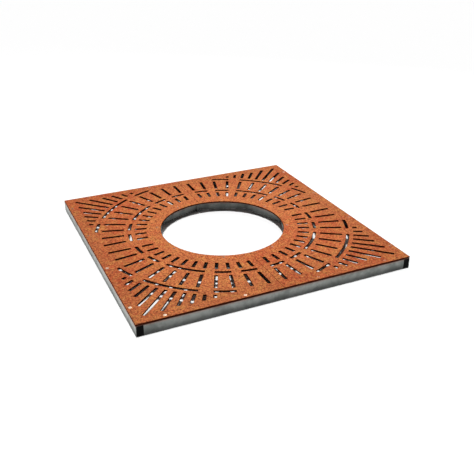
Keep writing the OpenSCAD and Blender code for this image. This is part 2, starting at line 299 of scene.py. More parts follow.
def weathering_steel(tones):
    """Weathering steel left to rust: a dry, matt skin, mottled from ochre to red-brown."""
    material, tree, shader, place = blank_finish("weathering_steel_rust")
    # The tides' texture is moved so that it paints a pool of light on the middle and the back of the plate
    placed_for_painted_light = add(tree, "ShaderNodeMapping", {"Vector": place, "Location": (3.6, -0.1, 14.9)})
    # Textures: the size of their features in millimetres, their detail, roughness and distortion
    tides_and_light_pool, blotches, stains, flecks, grain = (
        add(tree, "ShaderNodeTexNoise", {
            "Vector": where, "Scale": per_metre(across), "Detail": detail, "Roughness": rough,
            "Distortion": bent,
        })
        for where, across, detail, rough, bent in (
            # Broad tides where the sheet lay wet, placed to be palest in the middle and at the back as a
            # painted pool of light
            (placed_for_painted_light, 420, 2.0, 0.5, 0.0),
            # Blotches of young rust
            (place, 55, 4.0, 0.65, 0.0),
            # Stains of red rust
            (place, 30, 4.0, 0.7, 0.5),
            # Flecks of the scale that flakes off
            (place, 11, 3.0, 0.7, 0.0),
            # Grain of the rust, really finer, drawn so that it shows
            (place, 6, 2.0, 0.5, 0.0),
        )
    )
    wet = add(tree, MATH, tides_and_light_pool, stains, operation="ADD")
    skin = opaque(tones.rust)
    # Layers of rust: the texture, the values at which it starts and is full, its share and its colour
    for texture, start, full, share, tone in (
        (wet, 0.90, 1.25, 0.85, tones.red_rust),
        (blotches, 0.46, 0.70, 0.50, tones.young_rust),
        (flecks, 0.52, 0.70, 1.00, tones.young_rust),
        (flecks, 0.50, 0.32, 0.95, tones.old_rust),
    ):
        cover = add(tree, "ShaderNodeMapRange", {
            "Value": texture, "From Min": start, "From Max": full, "To Max": share,
        }, interpolation_type="SMOOTHSTEP")
        skin = add(tree, "ShaderNodeMix", {
            "Factor": cover, "A": skin, "B": opaque(tone),
        }, data_type="RGBA")
    shade = add(tree, "ShaderNodeMapRange", {
        "Value": grain, "From Min": 0.3, "From Max": 0.7, "To Min": 0.55, "To Max": 1.45,
    })
    # Painted shade darkens the plate from 480 mm out, the more the nearer to its edges, and lifts its middle
    # a little
    across = add(tree, VECTOR_MATH, place, operation="ABSOLUTE")
    reach = add(tree, "ShaderNodeSeparateXYZ", {"Vector": across}).outputs
    outward = add(tree, MATH, reach["X"], reach["Y"], operation="MAXIMUM")
    edge_shade = add(tree, "ShaderNodeMapRange", {
        "Value": outward, "From Min": 0.48, "From Max": HALF_SIDE, "To Min": 1.04, "To Max": 0.85,
    }, interpolation_type="SMOOTHSTEP")
    for layer in (shade, edge_shade):
        skin = add(tree, "ShaderNodeMix", {
            "Factor": 1.0, "A": skin, "B": layer,
        }, data_type="RGBA", blend_type="MULTIPLY")
    relief = add(tree, MATH, flecks, grain, operation="ADD")
    feed(tree, shader, {
        "Base Color": skin,
        "Normal": add(tree, "ShaderNodeBump", {"Strength": 0.5, "Distance": 0.4 * MM, "Height": relief}),
        "Roughness": add(tree, "ShaderNodeMapRange", {"Value": flecks, "To Min": 0.95, "To Max": 0.75}),
        "Specular IOR Level": 0.15,
    })
    return material


def cut_steel(tones):
    """Laser-cut edge of weathering steel: burnt dark by the cut and darker still as painted shade in the
    slots, with its fine upright furrows.
    """
    material, tree, shader, place = blank_finish("weathering_steel_cut_edge")
    upright = add(tree, "ShaderNodeMapping", {"Vector": place, "Scale": (1.0, 1.0, 0.06)})
    # Furrows of the cut, 0.8 mm apart
    furrows = add(tree, "ShaderNodeTexNoise", {"Vector": upright, "Scale": per_metre(0.8), "Detail": 1.0})
    # Stains of paler rust, about 25 mm across
    stains = add(tree, "ShaderNodeTexNoise", {"Vector": place, "Scale": per_metre(25), "Detail": 3.0})
    tone = add(tree, "ShaderNodeMapRange", {
        "Value": stains, "From Min": 0.5, "From Max": 0.7, "To Max": 0.25,
    })
    skin = add(tree, "ShaderNodeMix", {
        "Factor": tone, "A": opaque(tones.cut_rust_and_shade), "B": opaque(tones.old_rust),
    }, data_type="RGBA")
    feed(tree, shader, {
        "Base Color": skin,
        "Normal": add(tree, "ShaderNodeBump", {"Strength": 0.6, "Distance": 0.2 * MM, "Height": furrows}),
        "Roughness": 0.9,
        "Specular IOR Level": 0.0,
    })
    return material


def galvanised_steel(tones):
    """Hot-dip galvanised steel: a matt grey zinc coat with faint crystals and cloudy stains."""
    material, tree, shader, place = blank_finish("hot_dip_galvanised_steel")
    # Zinc crystals, about 18 mm across
    crystals = add(tree, "ShaderNodeTexVoronoi", {"Vector": place, "Scale": per_metre(18)})
    # Clouds of dull zinc, about 70 mm across
    clouds = add(tree, "ShaderNodeTexNoise", {
        "Vector": place, "Scale": per_metre(70), "Detail": 3.0, "Roughness": 0.6,
    })
    # Frosting within a crystal, 3 mm across
    frost = add(tree, "ShaderNodeTexNoise", {"Vector": place, "Scale": per_metre(3), "Detail": 2.0})
    crystal = add(tree, "ShaderNodeSeparateColor", {"Color": crystals.outputs["Color"]})
    facet = add(tree, "ShaderNodeMapRange", {"Value": crystal, "To Min": 0.15, "To Max": 0.75})
    dull = add(tree, "ShaderNodeMapRange", {
        "Value": clouds, "From Min": 0.42, "From Max": 0.66, "To Max": 0.75,
    }, interpolation_type="SMOOTHSTEP")
    skin = opaque(tones.zinc)
    for cover, tone in ((facet, tones.bright_zinc), (dull, tones.dull_zinc)):
        skin = add(tree, "ShaderNodeMix", {
            "Factor": cover, "A": skin, "B": opaque(tone),
        }, data_type="RGBA")
    # Painted shade darkens the zinc towards the ground, up to 46 mm, at the foot of the rails and on the
    # ring's lower part
    across = add(tree, VECTOR_MATH, place, operation="ABSOLUTE")
    depth, height = add(tree, "ShaderNodeSeparateXYZ", {"Vector": across}).outputs[1:]
    foot_shade = add(tree, "ShaderNodeMapRange", {
        "Value": height, "From Min": 0.006, "From Max": 0.046, "To Min": 0.30, "To Max": 1.0,
    }, interpolation_type="SMOOTHSTEP")
    skin = add(tree, "ShaderNodeMix", {
        "Factor": 1.0, "A": skin, "B": foot_shade,
    }, data_type="RGBA", blend_type="MULTIPLY")
    # Rust water from the plate runs down the top 14 mm in streaks 12 mm apart
    upright = add(tree, "ShaderNodeMapping", {"Vector": place, "Scale": (1.0, 1.0, 0.25)})
    streaks = add(tree, "ShaderNodeTexNoise", {"Vector": upright, "Scale": per_metre(12), "Detail": 2.0})
    # Painted shade in the groove under the plate's front and back edges, top 6 mm and outer 10 mm, where the
    # plate overhangs it
    outer = add(tree, MATH, depth, HALF_SIDE - 0.01, operation="GREATER_THAN")
    # Both: how far below the plate they start and are full, their share, where they are, their colour
    for start, full, share, where, tone in (
        (0.014, 0.0, 0.70, streaks, tones.rust),
        (0.006, 0.002, 0.85, outer, tones.cut_rust_and_shade),
    ):
        band = add(tree, "ShaderNodeMapRange", {
            "Value": height, "From Min": UNDERSIDE - start, "From Max": UNDERSIDE - full, "To Max": share,
        }, interpolation_type="SMOOTHSTEP")
        cover = add(tree, MATH, band, where, operation="MULTIPLY")
        skin = add(tree, "ShaderNodeMix", {
            "Factor": cover, "A": skin, "B": opaque(tone),
        }, data_type="RGBA")
    feed(tree, shader, {
        "Base Color": skin,
        "Roughness": add(tree, "ShaderNodeMapRange", {"Value": crystal, "To Min": 0.42, "To Max": 0.58}),
        "Normal": add(tree, "ShaderNodeBump", {"Strength": 0.25, "Distance": 0.15 * MM, "Height": frost}),
        "Metallic": 0.1,
        "Specular IOR Level": 0.15,
    })
    return material


def turned_stainless(tones):
    """Turned stainless steel: satin, with the lathe's rings on the heads, under a film of rust water."""
    material, tree, shader, place = blank_finish("turned_stainless_steel")
    # Distance from a screw's own axis, which its mesh carries
    axis = add(tree, "ShaderNodeAttribute", attribute_name="from_axis").outputs["Fac"]
    # Tool marks, 0.5 mm apart
    turns = add(tree, MATH, axis, 2 * math.pi * per_metre(0.5), operation="MULTIPLY")
    marks = add(tree, MATH, turns, operation="SINE")
    # Haze on the steel, about 6 mm across
    haze = add(tree, "ShaderNodeTexNoise", {"Vector": place, "Scale": per_metre(6), "Detail": 2.0})
    # The film differs from screw to screw, and is rinsed off at the near left, which paints highlights on the
    # screws there
    placed_for_painted_light = add(tree, "ShaderNodeMapping", {"Vector": place, "Location": (16.5, -10.8, 37.5)})
    washed_and_highlit = add(tree, "ShaderNodeMapRange", {
        "Value": add(tree, "ShaderNodeTexNoise", {"Vector": placed_for_painted_light, "Scale": per_metre(350), "Detail": 0.0}),
        "From Min": 0.60, "From Max": 0.74,
    })
    skin = add(tree, "ShaderNodeMix", {
        "Factor": washed_and_highlit, "A": opaque(tones.rust_film), "B": opaque(tones.stainless),
    }, data_type="RGBA")
    feed(tree, shader, {
        "Base Color": skin,
        "Normal": add(tree, "ShaderNodeBump", {"Strength": 0.2, "Distance": 0.05 * MM, "Height": marks}),
        "Roughness": add(tree, "ShaderNodeMapRange", {"Value": haze, "To Min": 0.28, "To Max": 0.48}),
        "Metallic": 1.0,
    })
    return material


def plated_steel(tones):
    """Zinc-plated steel: bright and slightly blue, with a cloudy passivation."""
    material, tree, shader, place = blank_finish("zinc_plated_steel")
    # Clouds of the passivation, about 9 mm across
    clouds = add(tree, "ShaderNodeTexNoise", {"Vector": place, "Scale": per_metre(9), "Detail": 3.0})
    skin = add(tree, "ShaderNodeMix", {
        "Factor": clouds, "A": opaque(tones.plated), "B": opaque(tones.zinc),
    }, data_type="RGBA")
    feed(tree, shader, {
        "Base Color": skin,
        "Roughness": add(tree, "ShaderNodeMapRange", {"Value": clouds, "To Min": 0.25, "To Max": 0.5}),
        "Metallic": 1.0,
    })
    return material


def moulded_polyethylene(tones):
    """Injection-moulded black polyethylene: satin, with a fine even grain."""
    material, tree, shader, place = blank_finish("moulded_polyethylene")
    # Grain of the mould, 0.6 mm
    grain = add(tree, "ShaderNodeTexNoise", {"Vector": place, "Scale": per_metre(0.6), "Detail": 1.0})
    # Dust on it, about 14 mm across
    dust = add(tree, "ShaderNodeTexNoise", {"Vector": place, "Scale": per_metre(14), "Detail": 3.0})
    feed(tree, shader, {
        "Base Color": opaque(tones.plug),
        "Normal": add(tree, "ShaderNodeBump", {"Strength": 0.3, "Distance": 0.05 * MM, "Height": grain}),
        "Roughness": add(tree, "ShaderNodeMapRange", {"Value": dust, "To Min": 0.4, "To Max": 0.6}),
        "Specular IOR Level": 0.04,
    })
    return material


FINISHES = {
    "weathering_steel_rust": weathering_steel,
    "weathering_steel_cut_edge": cut_steel,
    "hot_dip_galvanised_steel": galvanised_steel,
    "turned_stainless_steel": turned_stainless,
    "zinc_plated_steel": plated_steel,
    "moulded_polyethylene": moulded_polyethylene,
}
# Finishes made so far, kept here because the packed model's own materials may hold their names
DRESSED = {}


def finish(name, scene):
    """Return a finish, made on its first use."""
    if name not in DRESSED:
        DRESSED[name] = FINISHES[name](scene.grate_colours)
    return DRESSED[name]


def rule(value, angle):
    """Work out a size that is either a number or a rule of the angle."""
    return value(angle) if callable(value) else value


def turned_loops(profile, sides):
    """Loops of points about Z, one for each (radius, height), which may be rules of the angle."""
    loops = []
    for radius, height in profile:
        loop = []
        for i in range(sides):
            angle = 2 * math.pi * i / sides
            reach = rule(radius, angle)
            loop.append((reach * math.cos(angle), reach * math.sin(angle), rule(height, angle)))
        loops.append(loop)
    return loops


# Edges that bend less than this are shaded smooth
SMOOTH_BEND = math.radians(35)


def skin_loops(name, loops, ring=False):
    """Skin a stack of loops into a mesh whose ends are capped, or join its ends into a ring."""
    mesh = bpy.data.meshes.new(name)
    build = bmesh.new()
    from_axis = build.verts.layers.float.new("from_axis")
    rows = [[build.verts.new(p) for p in loop] for loop in loops]
    for vert in build.verts:
        vert[from_axis] = math.hypot(vert.co.x, vert.co.y)
    for upper, lower in zip(rows, rows[1:] + rows[:1] if ring else rows[1:]):
        for i in range(len(upper)):
            j = (i + 1) % len(upper)
            build.faces.new((upper[i], lower[i], lower[j], upper[j]))
    if not ring:
        build.faces.new(rows[0])
        build.faces.new(reversed(rows[-1]))
    bmesh.ops.recalc_face_normals(build, faces=build.faces)
    for edge in build.edges:
        edge.smooth = edge.calc_face_angle(0.0) < SMOOTH_BEND
    for face in build.faces:
        face.smooth = True
    build.to_mesh(mesh)
    build.free()
    return bpy.data.objects.new(name, mesh)


def hexagon(flats):
    """Radius of a hexagon as a rule of the angle."""
    return lambda angle: flats / 2 / math.cos((angle + math.pi / 6) % (math.pi / 3) - math.pi / 6)


# A metric thread is this deep, as a share of its pitch, and is drawn with this many loops a turn
THREAD_DEPTH = 0.61
THREAD_LOOPS = 4
# The end of a screw or bolt tapers by this much
TIP = 1 * MM


def thread(crest, pitch, top, bottom):
    """Profile of a thread that runs down from top to bottom; crest is its outer radius."""
    deep = THREAD_DEPTH * pitch
    rows = math.ceil((top - bottom) / pitch * THREAD_LOOPS)
    profile = []
    for row in range(rows + 1):
        height = top + (bottom - top) * row / rows
        profile.append((
            lambda angle, z=height: crest - deep * abs(2 * ((z / pitch - angle / 2 / math.pi) % 1) - 1),
            height,
        ))
    return profile


SCREW_SIDES = 24
BOLT_SIDES = 48


def screw_shape(sizes):
    """One countersunk screw, its head's top at the origin and its tip down."""
    head, shank, tip = sizes.head / 2, sizes.shank / 2, -sizes.long
    socket, socket_end = sizes.socket, -sizes.socket_deep
    cone = head - shank
    chamfer, drill, land, neck = 0.4 * MM, 0.5 * MM, 0.5 * MM, 1.5 * MM
    # The drilled bottom of the socket is this wide, as a share of the socket
    drill_wide = 0.3
    # The head is widest just below its top
    rim_in, rim_down = 0.1 * MM, 0.15 * MM
    profile = [
        (hexagon(socket * drill_wide), socket_end - drill), (hexagon(socket), socket_end),
        (hexagon(socket), -chamfer), (hexagon(socket + 2 * chamfer), 0.0), (head - chamfer, 0.0),
        (head - rim_in, -rim_down), (head - land, -land), (shank, -cone),
        *thread(shank, sizes.pitch, -cone - neck, tip + TIP), (shank - TIP, tip),
    ]
    return skin_loops("screw_shape", turned_loops(profile, SCREW_SIDES))


def rivet_nut_shape(sizes):
    """One set rivet nut, its flange's top at the origin."""
    bore, end = sizes.shank / 2 + sizes.nut_room, -sizes.nut_long
    sleeve, collar = sizes.nut_sleeve / 2, sizes.nut_collar / 2
    wall = bpy.context.scene.grate_frame.wall
    bulge_top, bulge_end = -wall, -wall - sizes.nut_collar_high
    edge, bulge, taper = 0.4 * MM, 0.8 * MM, 0.6 * MM
    profile = [
        (bore + edge, 0.0), (sleeve, 0.0), (sleeve, bulge_top), (collar - edge, bulge_top),
        (collar, bulge_top - bulge), (collar - taper, bulge_end + bulge), (sleeve, bulge_end),
        (sleeve, end + edge), (sleeve - edge, end), (bore + edge, end), (bore, end + edge), (bore, -edge),
    ]
    return skin_loops("rivet_nut_shape", turned_loops(profile, SCREW_SIDES), ring=True)


# Chamfer of hexagon heads and nuts: the round face at their ends and the circle from which it
# slopes, both as a share of the width across the flats, and its slope
HEX_FACE = 0.94
HEX_CHAMFER = 0.98
HEX_SLOPE = math.tan(math.radians(30))


def hex_edge(flats, height, sign):
    """Height of a chamfered hexagon's rim, which drops towards its corners."""
    circle = flats / 2 * HEX_CHAMFER
    return lambda angle: height - sign * max(hexagon(flats)(angle) - circle, 0.0) * HEX_SLOPE


def bolt_shape(sizes):
    """One seam bolt along Z, the seam at the origin and the head up."""
    grip = SEAM_BAR + sizes.washer_thick
    shank, flats = sizes.shank / 2, sizes.flats
    face, edge, neck = flats / 2 * HEX_FACE, 0.3 * MM, 1 * MM
    top, tip = grip + sizes.head_high, -grip - sizes.nut_high - sizes.tail
    profile = [
        (face, top), (hexagon(flats), hex_edge(flats, top, 1)), (hexagon(flats), grip + edge),
        (face, grip), (shank + edge, grip), (shank, grip - edge), (shank, -grip + neck),
        *thread(shank, sizes.pitch, -grip, tip + TIP), (shank - TIP, tip),
    ]
    return skin_loops("bolt_shape", turned_loops(profile, BOLT_SIDES))


def bolt_nut_shape(sizes):
    """One hexagon nut along Z below its washer."""
    top = -SEAM_BAR - sizes.washer_thick
    end, flats = top - sizes.nut_high, sizes.flats
    room, edge = 0.1 * MM, 0.5 * MM
    face, bore = flats / 2 * HEX_FACE, sizes.shank / 2 + room
    profile = [
        (bore + edge, top), (face, top), (hexagon(flats), hex_edge(flats, top, 1)),
        (hexagon(flats), hex_edge(flats, end, -1)), (face, end), (bore + edge, end), (bore, end + edge),
        (bore, top - edge),
    ]
    return skin_loops("bolt_nut_shape", turned_loops(profile, BOLT_SIDES), ring=True)


def washer_shape(sizes):
    """The two washers of one bolt along Z, one on each side of the seam bars."""
    edge = 0.3 * MM
    bore, rim = sizes.shank / 2 + sizes.washer_room, sizes.washer / 2
    both = bmesh.new()
    for top in (SEAM_BAR + sizes.washer_thick, -SEAM_BAR):
        end = top - sizes.washer_thick
        profile = [
            (bore, top), (rim - edge, top), (rim, top - edge), (rim, end + edge), (rim - edge, end),
            (bore, end),
        ]
        one = skin_loops("washer", turned_loops(profile, BOLT_SIDES), ring=True)
        both.from_mesh(one.data)
        bpy.data.meshes.remove(one.data)
    mesh = bpy.data.meshes.new("washer_shape")
    both.to_mesh(mesh)
    both.free()
    return bpy.data.objects.new("washer_shape", mesh)


# A bead's height over its leg, the share of it that the ripples take, and how far their middles
# run ahead, as a share of a ripple
WELD_BULGE = 0.18
WELD_RIPPLE = 0.45
WELD_LAG = 0.6
# A bead is sunk this deep into its corner, has this share of its size at its ends, and gains the
# rest at this many sizes in its length
WELD_SUNK = 0.3 * MM
WELD_START = 0.4
WELD_GROWTH = 8
# Loops in a ripple, and steps from one leg to the other
WELD_LOOPS = 5
WELD_STEPS = 8


def weld_shape(name, sizes, low, angle):
    """One fillet weld up a corner at the origin, from a tube's low edge, one leg along +X."""
    pitch = sizes.weld_ripple
    bottom, top = low + sizes.corner, UNDERSIDE - sizes.corner
    near = Vector((sizes.weld_leg, 0.0, 0.0))
    far = Matrix.Rotation(angle, 3, "Z") @ near
    out = (near + far).normalized()
    rows = round((top - bottom) / pitch * WELD_LOOPS)
    loops = []
    for row in range(rows + 1):
        height = Vector((0.0, 0.0, top + (bottom - top) * row / rows))
        taper = min(1.0, WELD_START + WELD_GROWTH * min(row, rows - row) / rows)
        loop = [height - WELD_SUNK * out]
        for i in range(WELD_STEPS + 1):
            across = i / WELD_STEPS
            arch = 4 * across * (1 - across)
            # Each ripple is a crescent, furthest on in the middle of the bead
            crest = abs(math.sin(math.pi * (height.z / pitch + WELD_LAG * arch)))
            swell = 1 - WELD_RIPPLE + WELD_RIPPLE * crest
            bulge = WELD_BULGE * sizes.weld_leg * swell * arch
            loop.append((near.lerp(far, across) + bulge * out) * taper + height)
        loops.append(loop)
    return skin_loops(name, loops)


# Steps in each rounded corner of a plug
CORNER_STEPS = 4


def rounded_loop(width, height, radius, depth):
    """One rounded rectangle across Y, centred on X and Z, as a loop of points."""
    loop = []
    for x, z, start in ((1, 1, 0), (-1, 1, 90), (-1, -1, 180), (1, -1, 270)):
        for step in range(CORNER_STEPS + 1):
            angle = math.radians(start + 90 / CORNER_STEPS * step)
            loop.append((
                x * (width / 2 - radius) + radius * math.cos(angle), depth,
                z * (height / 2 - radius) + radius * math.sin(angle),
            ))
    return loop


def plug_shape(sizes):
    """One push-in plug, its face across Y at the origin and its body towards +Y."""
    width, height = TUBE_WIDTH - 2 * sizes.wall, UNDERSIDE - 2 * sizes.wall
    border, room, skin, back = sizes.plug_border, sizes.plug_room, sizes.plug_skin, sizes.plug_deep
    recess, edge, foot, least_corner = sizes.plug_recess, 0.4 * MM, 1 * MM, 1 * MM
    # The plug as (inset, depth): recess and face, fins round the core, and the hollow behind
    profile = [
        (border + foot, recess), (border + edge, recess - edge / 4), (border, recess - edge), (border, edge),
        (border - edge, 0.0), (edge, 0.0), (0.0, edge), (0.0, skin), (room, skin),
    ]
    fin_step = (back - skin) / sizes.plug_fins
    for fin in range(1, sizes.plug_fins + 1):
        end = skin + fin * fin_step
        profile += [(room, end - sizes.fin_thick), (0.0, end - sizes.fin_thick / 2), (room, end)]
    profile += [(room + skin, back), (room + skin, skin + recess)]
    corner = sizes.corner - sizes.wall
    plug = skin_loops("plug_shape", [
        rounded_loop(width - 2 * inset, height - 2 * inset, max(corner - inset, least_corner), depth)
        for inset, depth in profile
    ])
    build = bmesh.new()
    build.from_mesh(plug.data)
    # The ribs stand on the floor of the recess, half as high as it is deep
    step, rib_high = (width - 2 * border) / (sizes.ribs + 1), recess / 2
    for rib in range(1, sizes.ribs + 1):
        place = Matrix.Translation((-width / 2 + border + rib * step, recess - rib_high / 2, 0.0))
        block = Matrix.Diagonal((sizes.rib_wide, rib_high, height - 2 * border, 1.0))
        bmesh.ops.create_cube(build, size=1.0, matrix=place @ block)
    build.to_mesh(plug.data)
    build.free()
    return plug


# What an input of a geometry tree is, by the value that it takes
SOCKETS = {
    bpy.types.Object: "NodeSocketObject", bpy.types.Material: "NodeSocketMaterial",
    int: "NodeSocketInt", float: "NodeSocketFloat",
}


def start_tree(name, inputs, outputs=(("Geometry", "NodeSocketGeometry"),)):
    """Start a geometry tree with named inputs and outputs; return it with its input node."""
    tree = bpy.data.node_groups.new(name, "GeometryNodeTree")
    for label, kind in outputs:
        tree.interface.new_socket(label, in_out="OUTPUT", socket_type=kind)
    for label, value in inputs.items():
        kind = next(kind for held, kind in SOCKETS.items() if isinstance(value, held))
        tree.interface.new_socket(label, in_out="INPUT", socket_type=kind)
    return tree, add(tree, "NodeGroupInput").outputs


def grow(name, tree, values):
    """Run a geometry tree on the given values once, and keep the result as a plain mesh."""
    piece = bpy.data.objects.new(name, bpy.data.meshes.new(name))
    bpy.context.scene.collection.objects.link(piece)
    modifier = piece.modifiers.new("grow", "NODES")
    modifier.node_group = tree
    for item in tree.interface.items_tree:
        if item.in_out == "INPUT":
            modifier[item.identifier] = values[item.name]
    depsgraph = bpy.context.evaluated_depsgraph_get()
    grown = bpy.data.meshes.new_from_object(
        piece.evaluated_get(depsgraph), preserve_all_data_layers=True, depsgraph=depsgraph)
    piece.modifiers.remove(modifier)
    empty, piece.data = piece.data, grown
    grown.name = name
    bpy.data.meshes.remove(empty)
    if not grown.polygons:
        raise RuntimeError(f"the geometry tree made nothing for {name}")
    return piece


def line_rule():
    """Tree for one slot line: where it crosses a circle about the trunk."""
    tree, size = start_tree(
        "Slot line at a radius", {"Line": 0.0, "Radius": 0.0, "Line offset": 0.0, "Line step": 0.0},
        (("Distance", "NodeSocketFloat"), ("Bearing", "NodeSocketFloat"), ("Heading", "NodeSocketFloat"),
         ("Direction", "NodeSocketVector"), ("Start", "NodeSocketVector")),
    )
    heading = add(tree, MATH, size["Line"], size["Line step"], operation="MULTIPLY")
    direction = add(tree, "ShaderNodeVectorRotate", {
        "Vector": (1.0, 0.0, 0.0), "Angle": heading,
    }, rotation_type="Z_AXIS")
    start = add(tree, "ShaderNodeCombineXYZ", {"X": size["Line offset"], "Y": size["Line offset"]})
    # Cosine rule: how far the circle is along a line that starts off the trunk's axis
    lean = add(tree, VECTOR_MATH, start, direction, operation="DOT_PRODUCT")
    start_square = add(tree, VECTOR_MATH, start, start, operation="DOT_PRODUCT")
    radius_square = add(tree, MATH, size["Radius"], size["Radius"], operation="MULTIPLY")
    rest = add(tree, MATH, radius_square, start_square, operation="SUBTRACT")
    square = add(tree, MATH, lean, lean, rest, operation="MULTIPLY_ADD")
    root = add(tree, MATH, square, operation="SQRT")
    distance = add(tree, MATH, root, lean, operation="SUBTRACT")
    place = add(tree, VECTOR_MATH, direction, distance, start, operation="MULTIPLY_ADD")
    split = add(tree, "ShaderNodeSeparateXYZ", {"Vector": place}).outputs
    bearing = add(tree, MATH, split["Y"], split["X"], operation="ARCTAN2")
    add(tree, "NodeGroupOutput", {
        "Distance": distance, "Bearing": bearing, "Heading": heading, "Direction": direction, "Start": start,
    })
    return tree


def line_at(tree, size, lines, line, radius):
    """Ask the line rule about one or more lines at a radius."""
    return add(tree, "GeometryNodeGroup", {
        "Line": line, "Radius": radius, "Line offset": size["Line offset"], "Line step": size["Line step"],
    }, node_tree=lines).outputs


def edge_lead(tree, first, last):
    """Add how far a slot between two angles goes towards the plate's edges, as a share of its reach."""
    across = add(tree, MATH, first, operation="COSINE")
    along = add(tree, MATH, last, operation="SINE")
    return add(tree, MATH, across, along, operation="MAXIMUM")


def straight_slots(tree, size, lines, slots, line, near, far=None, reach=None):
    """Add a row of straight slots: outlines on a run of lines, from the near radius outwards."""
    start = line_at(tree, size, lines, line, near)
    end = line_at(tree, size, lines, line, far)["Distance"] if far else reach
    long = add(tree, MATH, end, start["Distance"], operation="SUBTRACT")
    twice = add(tree, MATH, end, start["Distance"], operation="ADD")
    middle = add(tree, MATH, twice, 0.5, operation="MULTIPLY")
    place = add(tree, VECTOR_MATH, start["Direction"], middle, start["Start"], operation="MULTIPLY_ADD")
    # A slot that would be shorter than half its width is left out
    return add(tree, "GeometryNodeInstanceOnPoints", {
        "Points": add(tree, "GeometryNodePoints", {"Count": slots, "Position": place}),
        "Selection": add(tree, "FunctionNodeCompare", {"A": long, "B": size["Half slot"]},
                         operation="GREATER_THAN"),
        "Instance": add(tree, "GeometryNodeCurvePrimitiveQuadrilateral", {"Width": 1.0, "Height": 1.0}),
        "Rotation": add(tree, "ShaderNodeCombineXYZ", {"Z": start["Heading"]}),
        "Scale": add(tree, "ShaderNodeCombineXYZ", {"X": long, "Y": size["Slot width"], "Z": 1.0}),
    })


# Arcs in a quarter and the one on the diagonal. An arc joins two neighbouring radial lines, which
# are two line steps apart, and the next arc starts four steps on. The middle arc is four steps
# longer and joins the four lines about the diagonal, so the arcs beyond it start four steps later
ARCS = 5
MIDDLE_ARC = 2
ARC_STEPS = 2.0
ARC_PACE = 4.0
# Points along an arc's long sides
ARC_CUTS = 15.0


def arc_slots(tree, size, lines, radius, limit):
    """Add the arc slots at one radius: drawn straight, angle against radius, then bent round."""
    index = add(tree, "GeometryNodeInputIndex")
    is_middle, is_beyond = (
        add(tree, "FunctionNodeCompare", {"A": index, "B": MIDDLE_ARC}, data_type="INT", operation=test)
        for test in ("EQUAL", "GREATER_THAN")
    )
    place = add(tree, MATH, index, is_beyond, operation="ADD")
    first = add(tree, MATH, place, ARC_PACE, operation="MULTIPLY")
    second = add(tree, MATH, first, ARC_STEPS, operation="ADD")
    last = add(tree, MATH, is_middle, ARC_PACE, second, operation="MULTIPLY_ADD")
    start, end = (line_at(tree, size, lines, line, radius)["Bearing"] for line in (first, last))
    overrun = add(tree, MATH, size["Slot width"], radius, operation="DIVIDE")
    sweep = add(tree, MATH, add(tree, MATH, end, start, operation="SUBTRACT"), overrun, operation="ADD")
    middle_angle = add(tree, MATH, add(tree, MATH, end, start, operation="ADD"), 0.5, operation="MULTIPLY")
    # An arc whose outer edge would pass the plate's plain border is left out
    rim = add(tree, MATH, size["Half slot"], radius, operation="ADD")
    lead = edge_lead(tree, start, end)
    outermost = add(tree, MATH, rim, lead, operation="MULTIPLY")
    # Only the two long sides of an outline need points to bend at
    sides = add(tree, MATH, add(tree, "GeometryNodeInputIndex"), 2.0, operation="MODULO")
    cuts = add(tree, MATH, sides, -ARC_CUTS, ARC_CUTS, operation="MULTIPLY_ADD")
    outline = add(tree, "GeometryNodeSubdivideCurve", {
        "Curve": add(tree, "GeometryNodeCurvePrimitiveQuadrilateral", {"Width": 1.0, "Height": 1.0}),
        "Cuts": cuts,
    })
    chart = add(tree, "GeometryNodeInstanceOnPoints", {
        "Points": add(tree, "GeometryNodePoints", {
            "Count": ARCS, "Position": add(tree, "ShaderNodeCombineXYZ", {"X": middle_angle, "Y": radius}),
        }),
        "Selection": add(tree, "FunctionNodeCompare", {"A": outermost, "B": limit}, operation="LESS_THAN"),
        "Instance": outline,
        "Scale": add(tree, "ShaderNodeCombineXYZ", {"X": sweep, "Y": size["Slot width"], "Z": 1.0}),
    })
    straight = add(tree, "GeometryNodeRealizeInstances", {"Geometry": chart})
    here = add(tree, "ShaderNodeSeparateXYZ", {"Vector": add(tree, "GeometryNodeInputPosition")}).outputs
    bent = add(tree, "ShaderNodeVectorRotate", {
        "Vector": add(tree, "ShaderNodeCombineXYZ", {"X": here["Y"]}), "Angle": here["X"],
    }, rotation_type="Z_AXIS")
    return add(tree, "GeometryNodeSetPosition", {"Geometry": straight, "Position": bent})


# What the rule of the screw places takes, and the seed of the fasteners' turns
SCREW_INPUTS = ("Rail middle", "Near screw", "Far screw", "Ring middle", "Ring screw angle", "Side")
TURN_SEED = 7


